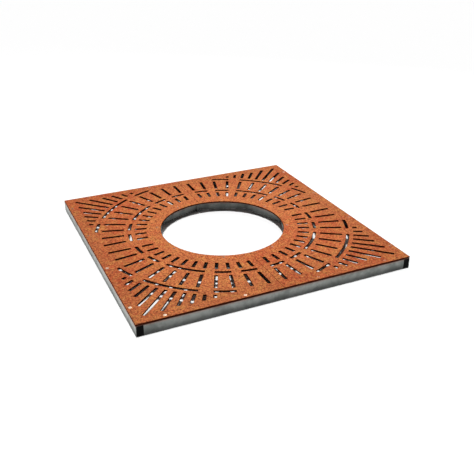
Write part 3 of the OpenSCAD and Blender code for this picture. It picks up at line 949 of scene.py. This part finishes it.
def screw_places():
    """Tree for the screws of one half: points on the rails and on the ring, mirrored front to back."""
    tree, size = start_tree("Screw places", {
        "Rail middle": 0.0, "Near screw": 0.0, "Far screw": 0.0, "Ring middle": 0.0, "Ring screw angle": 0.0,
        "Side": 0.0, "Height": 0.0,
    })
    places = [
        add(tree, "ShaderNodeCombineXYZ", {"X": size[x], "Y": size[y], "Z": size["Height"]})
        for along in ("Near screw", "Far screw")
        for x, y in (("Rail middle", along), (along, "Rail middle"))
    ]
    ring = add(tree, "ShaderNodeCombineXYZ", {"X": size["Ring middle"], "Z": size["Height"]})
    from_seam = add(tree, MATH, math.pi / 2, size["Ring screw angle"], operation="SUBTRACT")
    places += [
        add(tree, "ShaderNodeVectorRotate", {"Vector": ring, "Angle": angle}, rotation_type="Z_AXIS")
        for angle in (size["Ring screw angle"], from_seam)
    ]
    points = [add(tree, "GeometryNodePoints", {"Count": 1, "Position": place}) for place in places]
    quarter = add(tree, "GeometryNodeJoinGeometry", {"Geometry": points})
    front = add(tree, "GeometryNodeTransform", {"Geometry": quarter, "Scale": FRONT_TO_BACK})
    half = add(tree, "GeometryNodeJoinGeometry", {"Geometry": [quarter, front]})
    side = add(tree, "ShaderNodeCombineXYZ", {"X": size["Side"], "Y": 1.0, "Z": 1.0})
    add(tree, "NodeGroupOutput", add(tree, "GeometryNodeTransform", {"Geometry": half, "Scale": side}))
    return tree


# Points round the trunk opening, and round the sink of a screw
OPENING_POINTS = 240
SINK_POINTS = 32
# A point belongs to a screw's hole within this share of the head's radius
SINK_REACH = 1.05
# What lies nearer than this to the plate's top or to the seam counts as part of it
CLOSE = 0.1 * MM
# Points this near to each other are merged
MERGE_DISTANCE = 0.01 * MM
# Walls are the faces whose normals rise or fall less than this, and edges bend this far to be sharp
WALL_NORMAL = 0.9
SHARP_BEND = math.radians(30)


def slot_rows(tree, size):
    """Add the slots of one quarter by the line rule, as outlines."""
    lines = line_rule()
    index = add(tree, "GeometryNodeInputIndex")
    # From the opening outwards: rim, inner slots, arcs, outer slots, arcs, corner fan
    radius, at = size["Trunk radius"], {}
    for label, widths in (
        ("inner slots", ("Rim width",)), ("inner end", ("Inner slots",)),
        ("inner arcs", ("Bridge", "Half slot")), ("outer slots", ("Half slot", "Bridge")),
        ("outer end", ("Outer slots",)), ("outer arcs", ("Bridge", "Half slot")),
        ("fan", ("Half slot", "Bridge")),
    ):
        for width in widths:
            radius = add(tree, MATH, radius, size[width], operation="ADD")
        at[label] = radius

    every_second = add(tree, MATH, index, 2.0, operation="MULTIPLY")
    rows = [
        straight_slots(tree, size, lines, size["Slot lines"], every_second, at[near], far=at[far])
        for near, far in (("inner slots", "inner end"), ("outer slots", "outer end"))
    ]
    # Corner fan: its slots run out to a square line inside the plate's edge
    diagonal = add(tree, MATH, size["Slot lines"], 1.0, operation="SUBTRACT")
    from_diagonal = add(tree, MATH, index, size["Corner reach"], operation="SUBTRACT")
    fan_line = add(tree, MATH, from_diagonal, diagonal, operation="ADD")
    fan_angle = add(tree, MATH, fan_line, size["Line step"], operation="MULTIPLY")
    lead = edge_lead(tree, fan_angle, fan_angle)
    limit = add(tree, MATH, size["Half side"], size["Corner margin"], operation="SUBTRACT")
    run = add(tree, MATH, limit, size["Line offset"], operation="SUBTRACT")
    full = add(tree, MATH, run, lead, operation="DIVIDE")
    # Whole numbers are compared, so half a step off is still the same slot
    steps_off = add(tree, MATH, from_diagonal, operation="ABSOLUTE")
    is_short = add(tree, MATH, steps_off, size["Short slot"], 0.5, operation="COMPARE")
    shortfall = add(tree, MATH, is_short, size["Shortfall"], operation="MULTIPLY")
    reach = add(tree, MATH, full, shortfall, operation="SUBTRACT")
    fan_count = add(tree, MATH, size["Corner reach"], 2.0, 1.0, operation="MULTIPLY_ADD")
    rows.append(straight_slots(tree, size, lines, fan_count, fan_line, at["fan"], reach=reach))
    rows += [arc_slots(tree, size, lines, at[label], limit) for label in ("inner arcs", "outer arcs")]
    return add(tree, "GeometryNodeJoinGeometry", {"Geometry": rows})


def flat_plate(tree, size, places, over):
    """Fill the steel of one plate half round its slots, its screws' sinks and the trunk opening."""
    quarter = slot_rows(tree, size)
    front = add(tree, "GeometryNodeTransform", {"Geometry": quarter, "Scale": FRONT_TO_BACK})
    wide = add(tree, MATH, size["Half side"], size["Half gap"], operation="SUBTRACT")
    centre = add(tree, MATH, wide, 0.5, size["Half gap"], operation="MULTIPLY_ADD")
    deep = add(tree, MATH, size["Half side"], 2.0, operation="MULTIPLY")
    sheet = add(tree, "GeometryNodeTransform", {
        "Geometry": add(tree, "GeometryNodeCurvePrimitiveQuadrilateral", {"Width": wide, "Height": deep}),
        "Translation": add(tree, "ShaderNodeCombineXYZ", {"X": centre}),
    })
    opening = add(tree, "GeometryNodeCurvePrimitiveCircle", {
        "Resolution": OPENING_POINTS, "Radius": size["Trunk radius"],
    })
    cut = add(tree, "GeometryNodeTransform", {
        "Geometry": add(tree, "GeometryNodeJoinGeometry", {"Geometry": [quarter, front, sheet, opening]}),
        "Scale": add(tree, "ShaderNodeCombineXYZ", {"X": size["Side"], "Y": 1.0, "Z": 1.0}),
    })
    sinks = add(tree, "GeometryNodeInstanceOnPoints", {
        "Points": places,
        "Instance": add(tree, "GeometryNodeCurvePrimitiveCircle", {
            "Resolution": SINK_POINTS, "Radius": size["Head radius"],
        }),
    })
    outlines = add(tree, "GeometryNodeRealizeInstances", {
        "Geometry": add(tree, "GeometryNodeJoinGeometry", {"Geometry": [cut, sinks]}),
    })
    # The fill counts crossings, so it also fills the opening's far half, which is trimmed off here
    return add(tree, "GeometryNodeDeleteGeometry", {
        "Geometry": add(tree, "GeometryNodeFillCurve", {"Curve": outlines}, mode="TRIANGLES"),
        "Selection": add(tree, "FunctionNodeCompare", {"A": over, "B": size["Half gap"]},
                         operation="LESS_THAN"),
    }, domain="FACE")


def thicken(tree, size, flat, position, nearest, by_screw):
    """Thicken a flat plate down in two steps, so that its holes narrow to the shanks between them."""
    sink_deep = add(tree, MATH, size["Head radius"], size["Hole radius"], operation="SUBTRACT")
    down = add(tree, "FunctionNodeInputVector", vector=(0.0, 0.0, -1.0))
    step = add(tree, "GeometryNodeExtrudeMesh", {
        "Mesh": flat, "Offset": down, "Offset Scale": sink_deep, "Individual": False,
    }, mode="FACES").outputs
    ground, rise = (
        add(tree, VECTOR_MATH, position, kept, operation="MULTIPLY")
        for kept in ((1.0, 1.0, 0.0), (0.0, 0.0, 1.0))
    )
    below = add(tree, "FunctionNodeCompare", {
        "A": add(tree, "ShaderNodeSeparateXYZ", {"Vector": position}).outputs["Z"], "B": -CLOSE,
    }, operation="LESS_THAN")
    shrink = add(tree, MATH, size["Hole radius"], size["Head radius"], operation="DIVIDE")
    out = add(tree, VECTOR_MATH, ground, nearest["Position"], operation="SUBTRACT")
    drawn_in = add(tree, VECTOR_MATH, out, shrink, nearest["Position"], operation="MULTIPLY_ADD")
    narrowed = add(tree, "GeometryNodeSetPosition", {
        "Geometry": step["Mesh"],
        "Selection": add(tree, "FunctionNodeBooleanMath", by_screw, below, operation="AND"),
        "Position": add(tree, VECTOR_MATH, drawn_in, rise, operation="ADD"),
    })
    rest_deep = add(tree, MATH, size["Plate thickness"], sink_deep, operation="SUBTRACT")
    lower = add(tree, "GeometryNodeExtrudeMesh", {
        "Mesh": narrowed, "Selection": step["Top"], "Offset": down, "Offset Scale": rest_deep,
        "Individual": False,
    }, mode="FACES")
    under = add(tree, "GeometryNodeFlipFaces", {"Mesh": lower})
    return add(tree, "GeometryNodeMergeByDistance", {
        "Geometry": add(tree, "GeometryNodeJoinGeometry", {"Geometry": [flat, under]}),
        "Distance": MERGE_DISTANCE,
    })


def plate_tree(values):
    """Tree for one plate half: filled flat, thickened, coated, and its edges weighted for rounding."""
    tree, size = start_tree("Slotted plate", values)
    places = add(tree, "GeometryNodeGroup", {
        name: size[name] for name in SCREW_INPUTS
    }, node_tree=screw_places())
    position = add(tree, "GeometryNodeInputPosition")
    across = add(tree, "ShaderNodeSeparateXYZ", {"Vector": position}).outputs["X"]
    over = add(tree, MATH, across, size["Side"], operation="MULTIPLY")
    nearest = add(tree, "GeometryNodeProximity", {
        "Geometry": places,
        "Sample Position": add(tree, VECTOR_MATH, position, (1.0, 1.0, 0.0), operation="MULTIPLY"),
    }, target_element="POINTS").outputs
    head_reach = add(tree, MATH, size["Head radius"], SINK_REACH, operation="MULTIPLY")
    by_screw = add(tree, "FunctionNodeCompare", {
        "A": nearest["Distance"], "B": head_reach,
    }, operation="LESS_THAN")
    lifted = add(tree, "GeometryNodeTransform", {
        "Geometry": thicken(tree, size, flat_plate(tree, size, places, over), position, nearest, by_screw),
        "Translation": add(tree, "ShaderNodeCombineXYZ", {"Z": size["Plate top"]}),
    })
    smooth = add(tree, "GeometryNodeSetShadeSmooth", {"Geometry": lifted, "Shade Smooth": True})
    coated = add(tree, "GeometryNodeSetMaterial", {"Geometry": smooth, "Material": size["Rust skin"]})
    # The rounding later takes the sharp edges, but for the seam's and the countersunk holes'
    bend = add(tree, "GeometryNodeInputMeshEdgeAngle")
    sharp = add(tree, "FunctionNodeCompare", {"A": bend, "B": SHARP_BEND}, operation="GREATER_THAN")
    seam = add(tree, MATH, size["Half gap"], CLOSE, operation="ADD")
    off_seam = add(tree, "FunctionNodeCompare", {"A": over, "B": seam}, operation="GREATER_THAN")
    clear = add(tree, "FunctionNodeBooleanMath", off_seam, by_screw, operation="NIMPLY")
    weighted = add(tree, "GeometryNodeStoreNamedAttribute", {
        "Geometry": coated, "Name": "bevel_weight_edge",
        "Value": add(tree, "FunctionNodeBooleanMath", sharp, clear, operation="AND"),
    }, data_type="FLOAT", domain="EDGE")
    upward = add(tree, "ShaderNodeSeparateXYZ", {"Vector": add(tree, "GeometryNodeInputNormal")}).outputs["Z"]
    flatness = add(tree, MATH, upward, operation="ABSOLUTE")
    is_wall = add(tree, "FunctionNodeCompare", {"A": flatness, "B": WALL_NORMAL}, operation="LESS_THAN")
    real = add(tree, "GeometryNodeRealizeInstances", {"Geometry": weighted})
    add(tree, "NodeGroupOutput", add(tree, "GeometryNodeSetMaterial", {
        "Geometry": real, "Selection": is_wall, "Material": size["Cut edge"],
    }))
    return tree


def end_tree(tree, size, instances):
    """Make a tree's instances real, give them their finish and send them out."""
    real = add(tree, "GeometryNodeRealizeInstances", {"Geometry": instances})
    add(tree, "NodeGroupOutput", add(tree, "GeometryNodeSetMaterial", {
        "Geometry": real, "Material": size["Finish"],
    }))


def screws_tree(values):
    """Tree that sets one fastener at every screw place of a half."""
    tree, size = start_tree("Fasteners at the screw places", values)
    points = add(tree, "GeometryNodeGroup", {
        name: size[name] for name in (*SCREW_INPUTS, "Height")
    }, node_tree=screw_places())
    # Every fastener stops at its own angle
    turn = add(tree, "FunctionNodeRandomValue", {
        "Min": 0.0, "Max": 2 * math.pi, "Seed": TURN_SEED,
    }, data_type="FLOAT")
    shape = add(tree, "GeometryNodeObjectInfo", {"Object": size["Fastener"]}).outputs["Geometry"]
    set_in = add(tree, "GeometryNodeInstanceOnPoints", {
        "Points": points, "Instance": shape, "Rotation": add(tree, "ShaderNodeCombineXYZ", {"Z": turn}),
    })
    end_tree(tree, size, set_in)
    return tree


def spread_tree(name, values, spots):
    """Tree that sets a shape at each (shape, x, y, z, turn, turn behind), where words name inputs.

    Every spot is repeated behind the X axis and, if Side is -1, mirrored over to the left half.
    """
    tree, size = start_tree(name, values)
    parts = []
    for label, x, y, z, *turns in spots:
        shape = add(tree, "GeometryNodeObjectInfo", {"Object": size[label]}).outputs["Geometry"]
        for depth, turn in zip((-1.0, 1.0), turns):
            place = add(tree, "ShaderNodeCombineXYZ", {
                "X": add(tree, MATH, size[x], size["Side"], operation="MULTIPLY"),
                "Y": add(tree, MATH, size[y], depth, operation="MULTIPLY"),
                "Z": size[z],
            })
            parts.append(add(tree, "GeometryNodeInstanceOnPoints", {
                "Points": add(tree, "GeometryNodePoints", {"Count": 1, "Position": place}),
                "Instance": shape,
                "Rotation": turn,
            }))
    end_tree(tree, size, add(tree, "GeometryNodeJoinGeometry", {"Geometry": parts}))
    return tree


def settle(piece, slot, *nodes):
    """Give a finished piece its body, and hide the packed nodes that it stands for; its slot is not used."""
    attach(piece, "root")
    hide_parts(*nodes)


def burn_edges(piece, width):
    """Round a plate's weighted edges, keep its flats flat, and give the rounding the cut's finish."""
    bevel = piece.modifiers.new("edges", "BEVEL")
    bevel.width = width
    bevel.segments = 2
    bevel.material = piece.data.materials.find("weathering_steel_cut_edge")
    bevel.limit_method = "WEIGHT"
    bevel.use_clamp_overlap = False
    bevel.harden_normals = True
    bevel.miter_outer = "MITER_ARC"


def screw_values(scene):
    """Inputs that every tree about the screws takes, set for the right half."""
    screws = scene.grate_screws
    return {
        "Rail middle": RAIL_MID, "Near screw": screws.near, "Far screw": screws.far,
        "Ring middle": RING_MID / math.cos(screws.ring_angle - HALF_TURN),
        "Ring screw angle": screws.ring_angle, "Side": SIDES["right"],
    }


class GRATE_OT_plates(bpy.types.Operator):
    """Make the two slotted plate halves"""

    bl_idname = "grate.plates"
    bl_label = "Plates"

    def execute(self, context):
        scene = context.scene
        sizes, screws = scene.grate_plate, scene.grate_screws
        skin, cut = (finish(n, scene) for n in ("weathering_steel_rust", "weathering_steel_cut_edge"))
        values = {
            **screw_values(scene), "Half side": HALF_SIDE, "Half gap": PLATE[0].x,
            "Plate top": PLATE_TOP, "Plate thickness": PLATE_TOP - UNDERSIDE, "Trunk radius": TRUNK_RADIUS,
            "Slot width": sizes.slot_width, "Half slot": sizes.slot_width / 2,
            "Slot lines": sizes.slot_lines, "Line step": math.pi / 2 / (2 * sizes.slot_lines - 2),
            "Line offset": sizes.line_offset, "Rim width": sizes.rim_width, "Bridge": sizes.bridge,
            "Inner slots": sizes.inner_slot, "Outer slots": sizes.outer_slot,
            "Corner margin": sizes.fan_margin, "Corner reach": sizes.fan_reach,
            "Short slot": sizes.short_line, "Shortfall": sizes.short_by, "Head radius": screws.head / 2,
            "Hole radius": screws.shank / 2 + screws.hole_room, "Rust skin": skin, "Cut edge": cut,
        }
        tree = plate_tree(values)
        for hand, side in SIDES.items():
            piece = grow(f"{hand}_slotted_plate", tree, {**values, "Side": side})
            burn_edges(piece, sizes.edge_round)
            settle(piece, "weathering_steel", f"plate_{hand}")
        return {"FINISHED"}


class GRATE_OT_tubes(bpy.types.Operator):
    """Finish the frame's tubes and flat bars"""

    bl_idname = "grate.tubes"
    bl_label = "Tubes and bars"

    def execute(self, context):
        zinc = finish("hot_dip_galvanised_steel", context.scene)
        for part in frame["record"]["subparts"]:
            if part["material_slot"] == "galvanised_steel":
                for slot in bpy.data.objects[part["node"]].material_slots:
                    slot.material = zinc
        return {"FINISHED"}


def fastener_pieces(scene, shape, height, stem, node_stem, coat, slot):
    """Set one fastener at every screw place of both halves, and remove the shape it is copied from."""
    values = {**screw_values(scene), "Height": height, "Fastener": shape, "Finish": coat}
    tree = screws_tree(values)
    for hand, side in SIDES.items():
        piece = grow(f"{hand}_{stem}", tree, {**values, "Side": side})
        settle(piece, slot, f"{node_stem}_{hand}")
    bpy.data.objects.remove(shape)


class GRATE_OT_screws(bpy.types.Operator):
    """Make the countersunk screws that hold the plates"""

    bl_idname = "grate.screws"
    bl_label = "Plate screws"

    def execute(self, context):
        scene = context.scene
        fastener_pieces(
            scene, screw_shape(scene.grate_screws), PLATE_TOP, "countersunk_screws", "plate_screws",
            finish("turned_stainless_steel", scene), "stainless_steel")
        return {"FINISHED"}


class GRATE_OT_rivet_nuts(bpy.types.Operator):
    """Make the rivet nuts in the tubes' top walls"""

    bl_idname = "grate.rivet_nuts"
    bl_label = "Rivet nuts"

    def execute(self, context):
        scene = context.scene
        fastener_pieces(
            scene, rivet_nut_shape(scene.grate_screws), UNDERSIDE, "threaded_inserts", "rivet_nuts",
            finish("zinc_plated_steel", scene), "zinc_plated_steel")
        return {"FINISHED"}


class GRATE_OT_seam_bolts(bpy.types.Operator):
    """Make the bolts, washers and nuts that join the two halves"""

    bl_idname = "grate.seam_bolts"
    bl_label = "Seam bolts"

    def execute(self, context):
        scene = context.scene
        sizes = scene.grate_bolts
        coat = finish("zinc_plated_steel", scene)
        # Turned so that the head points to the left half
        head_left = (0.0, -math.pi / 2, 0.0)
        spots = [
            ("Shape", "Seam", spot, "Bolt height", head_left, head_left)
            for spot in ("Near bolt", "Far bolt")
        ]
        for name, shape, node in (
            ("hexagon_bolts", bolt_shape(sizes), "seam_bolts"),
            ("flat_washers", washer_shape(sizes), "seam_washers"),
            ("hexagon_nuts", bolt_nut_shape(sizes), "seam_nuts"),
        ):
            values = {
                "Shape": shape, "Seam": 0.0, "Near bolt": RING_CORNER + sizes.inset,
                "Far bolt": RAIL_IN - sizes.inset, "Bolt height": UNDERSIDE / 2, "Finish": coat,
                "Side": SIDES["right"],
            }
            piece = grow(name, spread_tree("Fasteners along the seam", values, spots), values)
            settle(piece, "zinc_plated_steel", node)
            bpy.data.objects.remove(shape)
        return {"FINISHED"}


class GRATE_OT_welds(bpy.types.Operator):
    """Make the fillet welds in the frame's inner corners"""

    bl_idname = "grate.welds"
    bl_label = "Fillet welds"

    def execute(self, context):
        scene = context.scene
        sizes = scene.grate_frame
        square, wide = math.pi / 2, math.pi / 2 + HALF_TURN
        angles = {"Tall bead": square, "Short bead": square, "Ring bead": wide}
        shapes = {
            label: weld_shape(label, sizes, 0.0 if label == "Tall bead" else RING_LOW, angle)
            for label, angle in angles.items()
        }
        zinc = finish("hot_dip_galvanised_steel", scene)
        # Bead, its corner, and how far its first leg is turned from +X
        corners = [
            ("Tall bead", "Rail face", "Rail face", square),
            ("Tall bead", "Bar face", "Rail face", 0.0),
            ("Short bead", "Rail face", "Half tube", math.pi),
            ("Ring bead", "Ring by rail", "Half tube", -wide),
            ("Ring bead", "Bar face", "Ring by bar", -square),
        ]
        for hand, side in SIDES.items():
            spots = []
            for label, x, y, turn in corners:
                back_turn = -angles[label] - turn
                over = math.pi - angles[label]
                turns = (turn, back_turn) if side > 0 else (over - turn, over - back_turn)
                spots.append((label, x, y, "Ground", *((0.0, 0.0, t) for t in turns)))
            values = {
                **shapes, "Rail face": RAIL_IN, "Bar face": SEAM_BAR, "Half tube": TUBE_WIDTH / 2,
                "Ring by rail": RING_CORNER - TUBE_WIDTH / 2 * math.tan(HALF_TURN),
                "Ring by bar": RING_CORNER - SEAM_BAR * math.tan(HALF_TURN), "Ground": 0.0, "Side": side,
                "Finish": zinc,
            }
            piece = grow(f"{hand}_fillet_welds", spread_tree("Welds in the corners", values, spots), values)
            settle(piece, "galvanised_steel", f"weld_beads_{hand}")
        for shape in shapes.values():
            bpy.data.objects.remove(shape)
        return {"FINISHED"}


class GRATE_OT_plugs(bpy.types.Operator):
    """Make the push-in plugs in the ends of the side rails"""

    bl_idname = "grate.plugs"
    bl_label = "End plugs"

    def execute(self, context):
        scene = context.scene
        coat = finish("moulded_polyethylene", scene)
        for hand, side in SIDES.items():
            for end, depth in (("front", -1.0), ("back", 1.0)):
                piece = plug_shape(scene.grate_frame)
                piece.name = piece.data.name = f"{hand}_{end}_push_in_plug"
                scene.collection.objects.link(piece)
                turn = Matrix.Rotation(0.0 if depth < 0 else math.pi, 4, "Z")
                place = Matrix.Translation((side * RAIL_MID, depth * HALF_SIDE, UNDERSIDE / 2))
                piece.data.transform(place @ turn)
                piece.data.materials.append(coat)
                settle(piece, "black_plastic", f"end_plug_{end}_{hand}")
        return {"FINISHED"}


class GRATE_OT_stage(bpy.types.Operator):
    """Set the floor, the lights and the camera"""

    bl_idname = "grate.stage"
    bl_label = "Stage"

    def execute(self, context):
        scene = context.scene
        stage = scene.grate_stage
        scene.view_settings.view_transform = "Standard"
        make_floor(scene, stage)
        light_world(scene, stage)
        hang_lights(scene, stage)
        place_camera(scene, stage)
        return {"FINISHED"}


# The floor reaches this far from the trunk's axis, and the camera sees this far
FLOOR_REACH = 40.0
SIGHT = 200.0
SENSOR_WIDTH = 36.0
# Where the overhead light comes from, and how wide it looks
OVERHEAD = Vector((-0.055, -0.01, 1.0))
OVERHEAD_SPREAD = math.radians(7)
# Soft lights: the setting of their power, their width and height, and their place
SOFT_LIGHTS = {
    "back_light": ("back", 2.0, 2.0, Vector((1.9, 2.2, 2.4))),
    "side_light": ("side", 2.4, 0.18, Vector((-3.2, -0.3, 0.11))),
    "front_light": ("front", 2.4, 0.18, Vector((0.5, -3.6, 0.11))),
}


def seen_rays(tree):
    """Add a test that is 1 for the rays which show the backdrop: camera, glossy and transmission."""
    path = add(tree, "ShaderNodeLightPath").outputs
    mirrored = add(tree, MATH, path["Is Glossy Ray"], path["Is Transmission Ray"], operation="MAXIMUM")
    return add(tree, MATH, path["Is Camera Ray"], mirrored, operation="MAXIMUM")


def make_floor(scene, stage):
    """Lay a wide pale floor, white where it is fully lit, that can be looked through from below."""
    mesh = bpy.data.meshes.new("studio_floor")
    corners = [(x * FLOOR_REACH, y * FLOOR_REACH, 0.0) for x, y in ((-1, -1), (1, -1), (1, 1), (-1, 1))]
    mesh.from_pydata(corners, [], [(0, 1, 2, 3)])
    floor = bpy.data.objects.new("studio_floor", mesh)
    scene.collection.objects.link(floor)
    material, tree, shader, _ = blank_finish("studio_floor_paper")
    tree.nodes.remove(shader)
    plain, shown = (
        add(tree, "ShaderNodeBsdfDiffuse", {"Color": opaque((tone,) * 3)})
        for tone in (stage.floor_bounce, stage.floor_tone)
    )
    paper = add(tree, "ShaderNodeMixShader", seen_rays(tree), plain, shown)
    below = add(tree, "ShaderNodeNewGeometry").outputs["Backfacing"]
    clear = add(tree, "ShaderNodeBsdfTransparent")
    both = add(tree, "ShaderNodeMixShader", below, paper, clear)
    feed(tree, next(n for n in tree.nodes if n.type == "OUTPUT_MATERIAL"), {"Surface": both})
    mesh.materials.append(material)


def light_world(scene, stage):
    """Light evenly from all round, and show white behind the grate."""
    world = bpy.data.worlds.new("studio_backdrop")
    scene.world = world
    world.use_nodes = True
    tree = world.node_tree
    tree.nodes.clear()
    fill, white = (
        add(tree, "ShaderNodeBackground", {"Color": opaque((1.0, 1.0, 1.0)), "Strength": strength})
        for strength in (stage.fill, 1.0)
    )
    both = add(tree, "ShaderNodeMixShader", seen_rays(tree), fill, white)
    add(tree, "ShaderNodeOutputWorld", {"Surface": both})


def aim(scene, name, data, away):
    """Put a lamp or a camera in the scene, looking against the direction away; return it."""
    aimed = bpy.data.objects.new(name, data)
    aimed.rotation_euler = away.to_track_quat("Z", "Y").to_euler()
    scene.collection.objects.link(aimed)
    return aimed


def hang_lights(scene, stage):
    """Hang soft lights nearly overhead, high at the back right, and low on the left and in front."""
    overhead = bpy.data.lights.new("overhead_light", "SUN")
    # A flat white sheet under a sun of strength pi renders as 1
    overhead.energy = stage.overhead * math.pi
    overhead.angle = OVERHEAD_SPREAD
    aim(scene, "overhead_light", overhead, OVERHEAD)
    for name, (power, wide, high, place) in SOFT_LIGHTS.items():
        soft = bpy.data.lights.new(name, "AREA")
        soft.shape = "RECTANGLE"
        soft.size = wide
        soft.size_y = high
        soft.energy = getattr(stage, power)
        aim(scene, name, soft, place - Vector((0.0, 0.0, UNDERSIDE / 2))).location = place


def place_camera(scene, stage):
    """Aim the camera at its target from its azimuth, elevation and distance."""
    camera = bpy.data.cameras.new("photograph_view")
    camera.lens = stage.lens
    camera.sensor_width = SENSOR_WIDTH
    camera.clip_end = SIGHT
    level = math.cos(stage.elevation)
    back = Vector((
        math.sin(stage.azimuth) * level, -math.cos(stage.azimuth) * level, math.sin(stage.elevation),
    ))
    scene.camera = aim(scene, "photograph_view", camera, back)
    scene.camera.location = Vector(stage.target) + back * stage.distance


PIECES = (
    GRATE_OT_stage, GRATE_OT_plates, GRATE_OT_tubes, GRATE_OT_screws, GRATE_OT_rivet_nuts,
    GRATE_OT_seam_bolts, GRATE_OT_welds, GRATE_OT_plugs,
)
SETTINGS = {
    "grate_plate": PlateSizes,
    "grate_screws": ScrewSizes,
    "grate_bolts": BoltSizes,
    "grate_frame": FrameSizes,
    "grate_colours": FinishColours,
    "grate_stage": StageSettings,
}


class GRATE_PT_sidebar(bpy.types.Panel):
    """Lists the grate's sizes, colours and pieces"""

    bl_idname = "GRATE_PT_sidebar"
    bl_label = "Tree Grate"
    bl_space_type = "VIEW_3D"
    bl_region_type = "UI"
    bl_category = "Tree Grate"

    def draw(self, context):
        for setting, group in SETTINGS.items():
            box = self.layout.box()
            box.label(text=group.__doc__.rstrip("."))
            for name in group.__annotations__:
                box.prop(getattr(context.scene, setting), name)
        for piece in PIECES:
            self.layout.operator(piece.bl_idname)


def register():
    """Register the classes, and hang the settings on the scene."""
    for cls in (*SETTINGS.values(), *PIECES, GRATE_PT_sidebar):
        bpy.utils.register_class(cls)
    for setting, group in SETTINGS.items():
        setattr(bpy.types.Scene, setting, PointerProperty(type=group))


def unregister():
    """Take the settings off the scene, and unregister the classes."""
    for setting in SETTINGS:
        delattr(bpy.types.Scene, setting)
    for cls in reversed((*SETTINGS.values(), *PIECES, GRATE_PT_sidebar)):
        bpy.utils.unregister_class(cls)


def main():
    """Make every piece in order."""
    register()
    for piece in PIECES:
        family, name = piece.bl_idname.split(".")
        getattr(getattr(bpy.ops, family), name)()


if __name__ == "__main__":
    main()
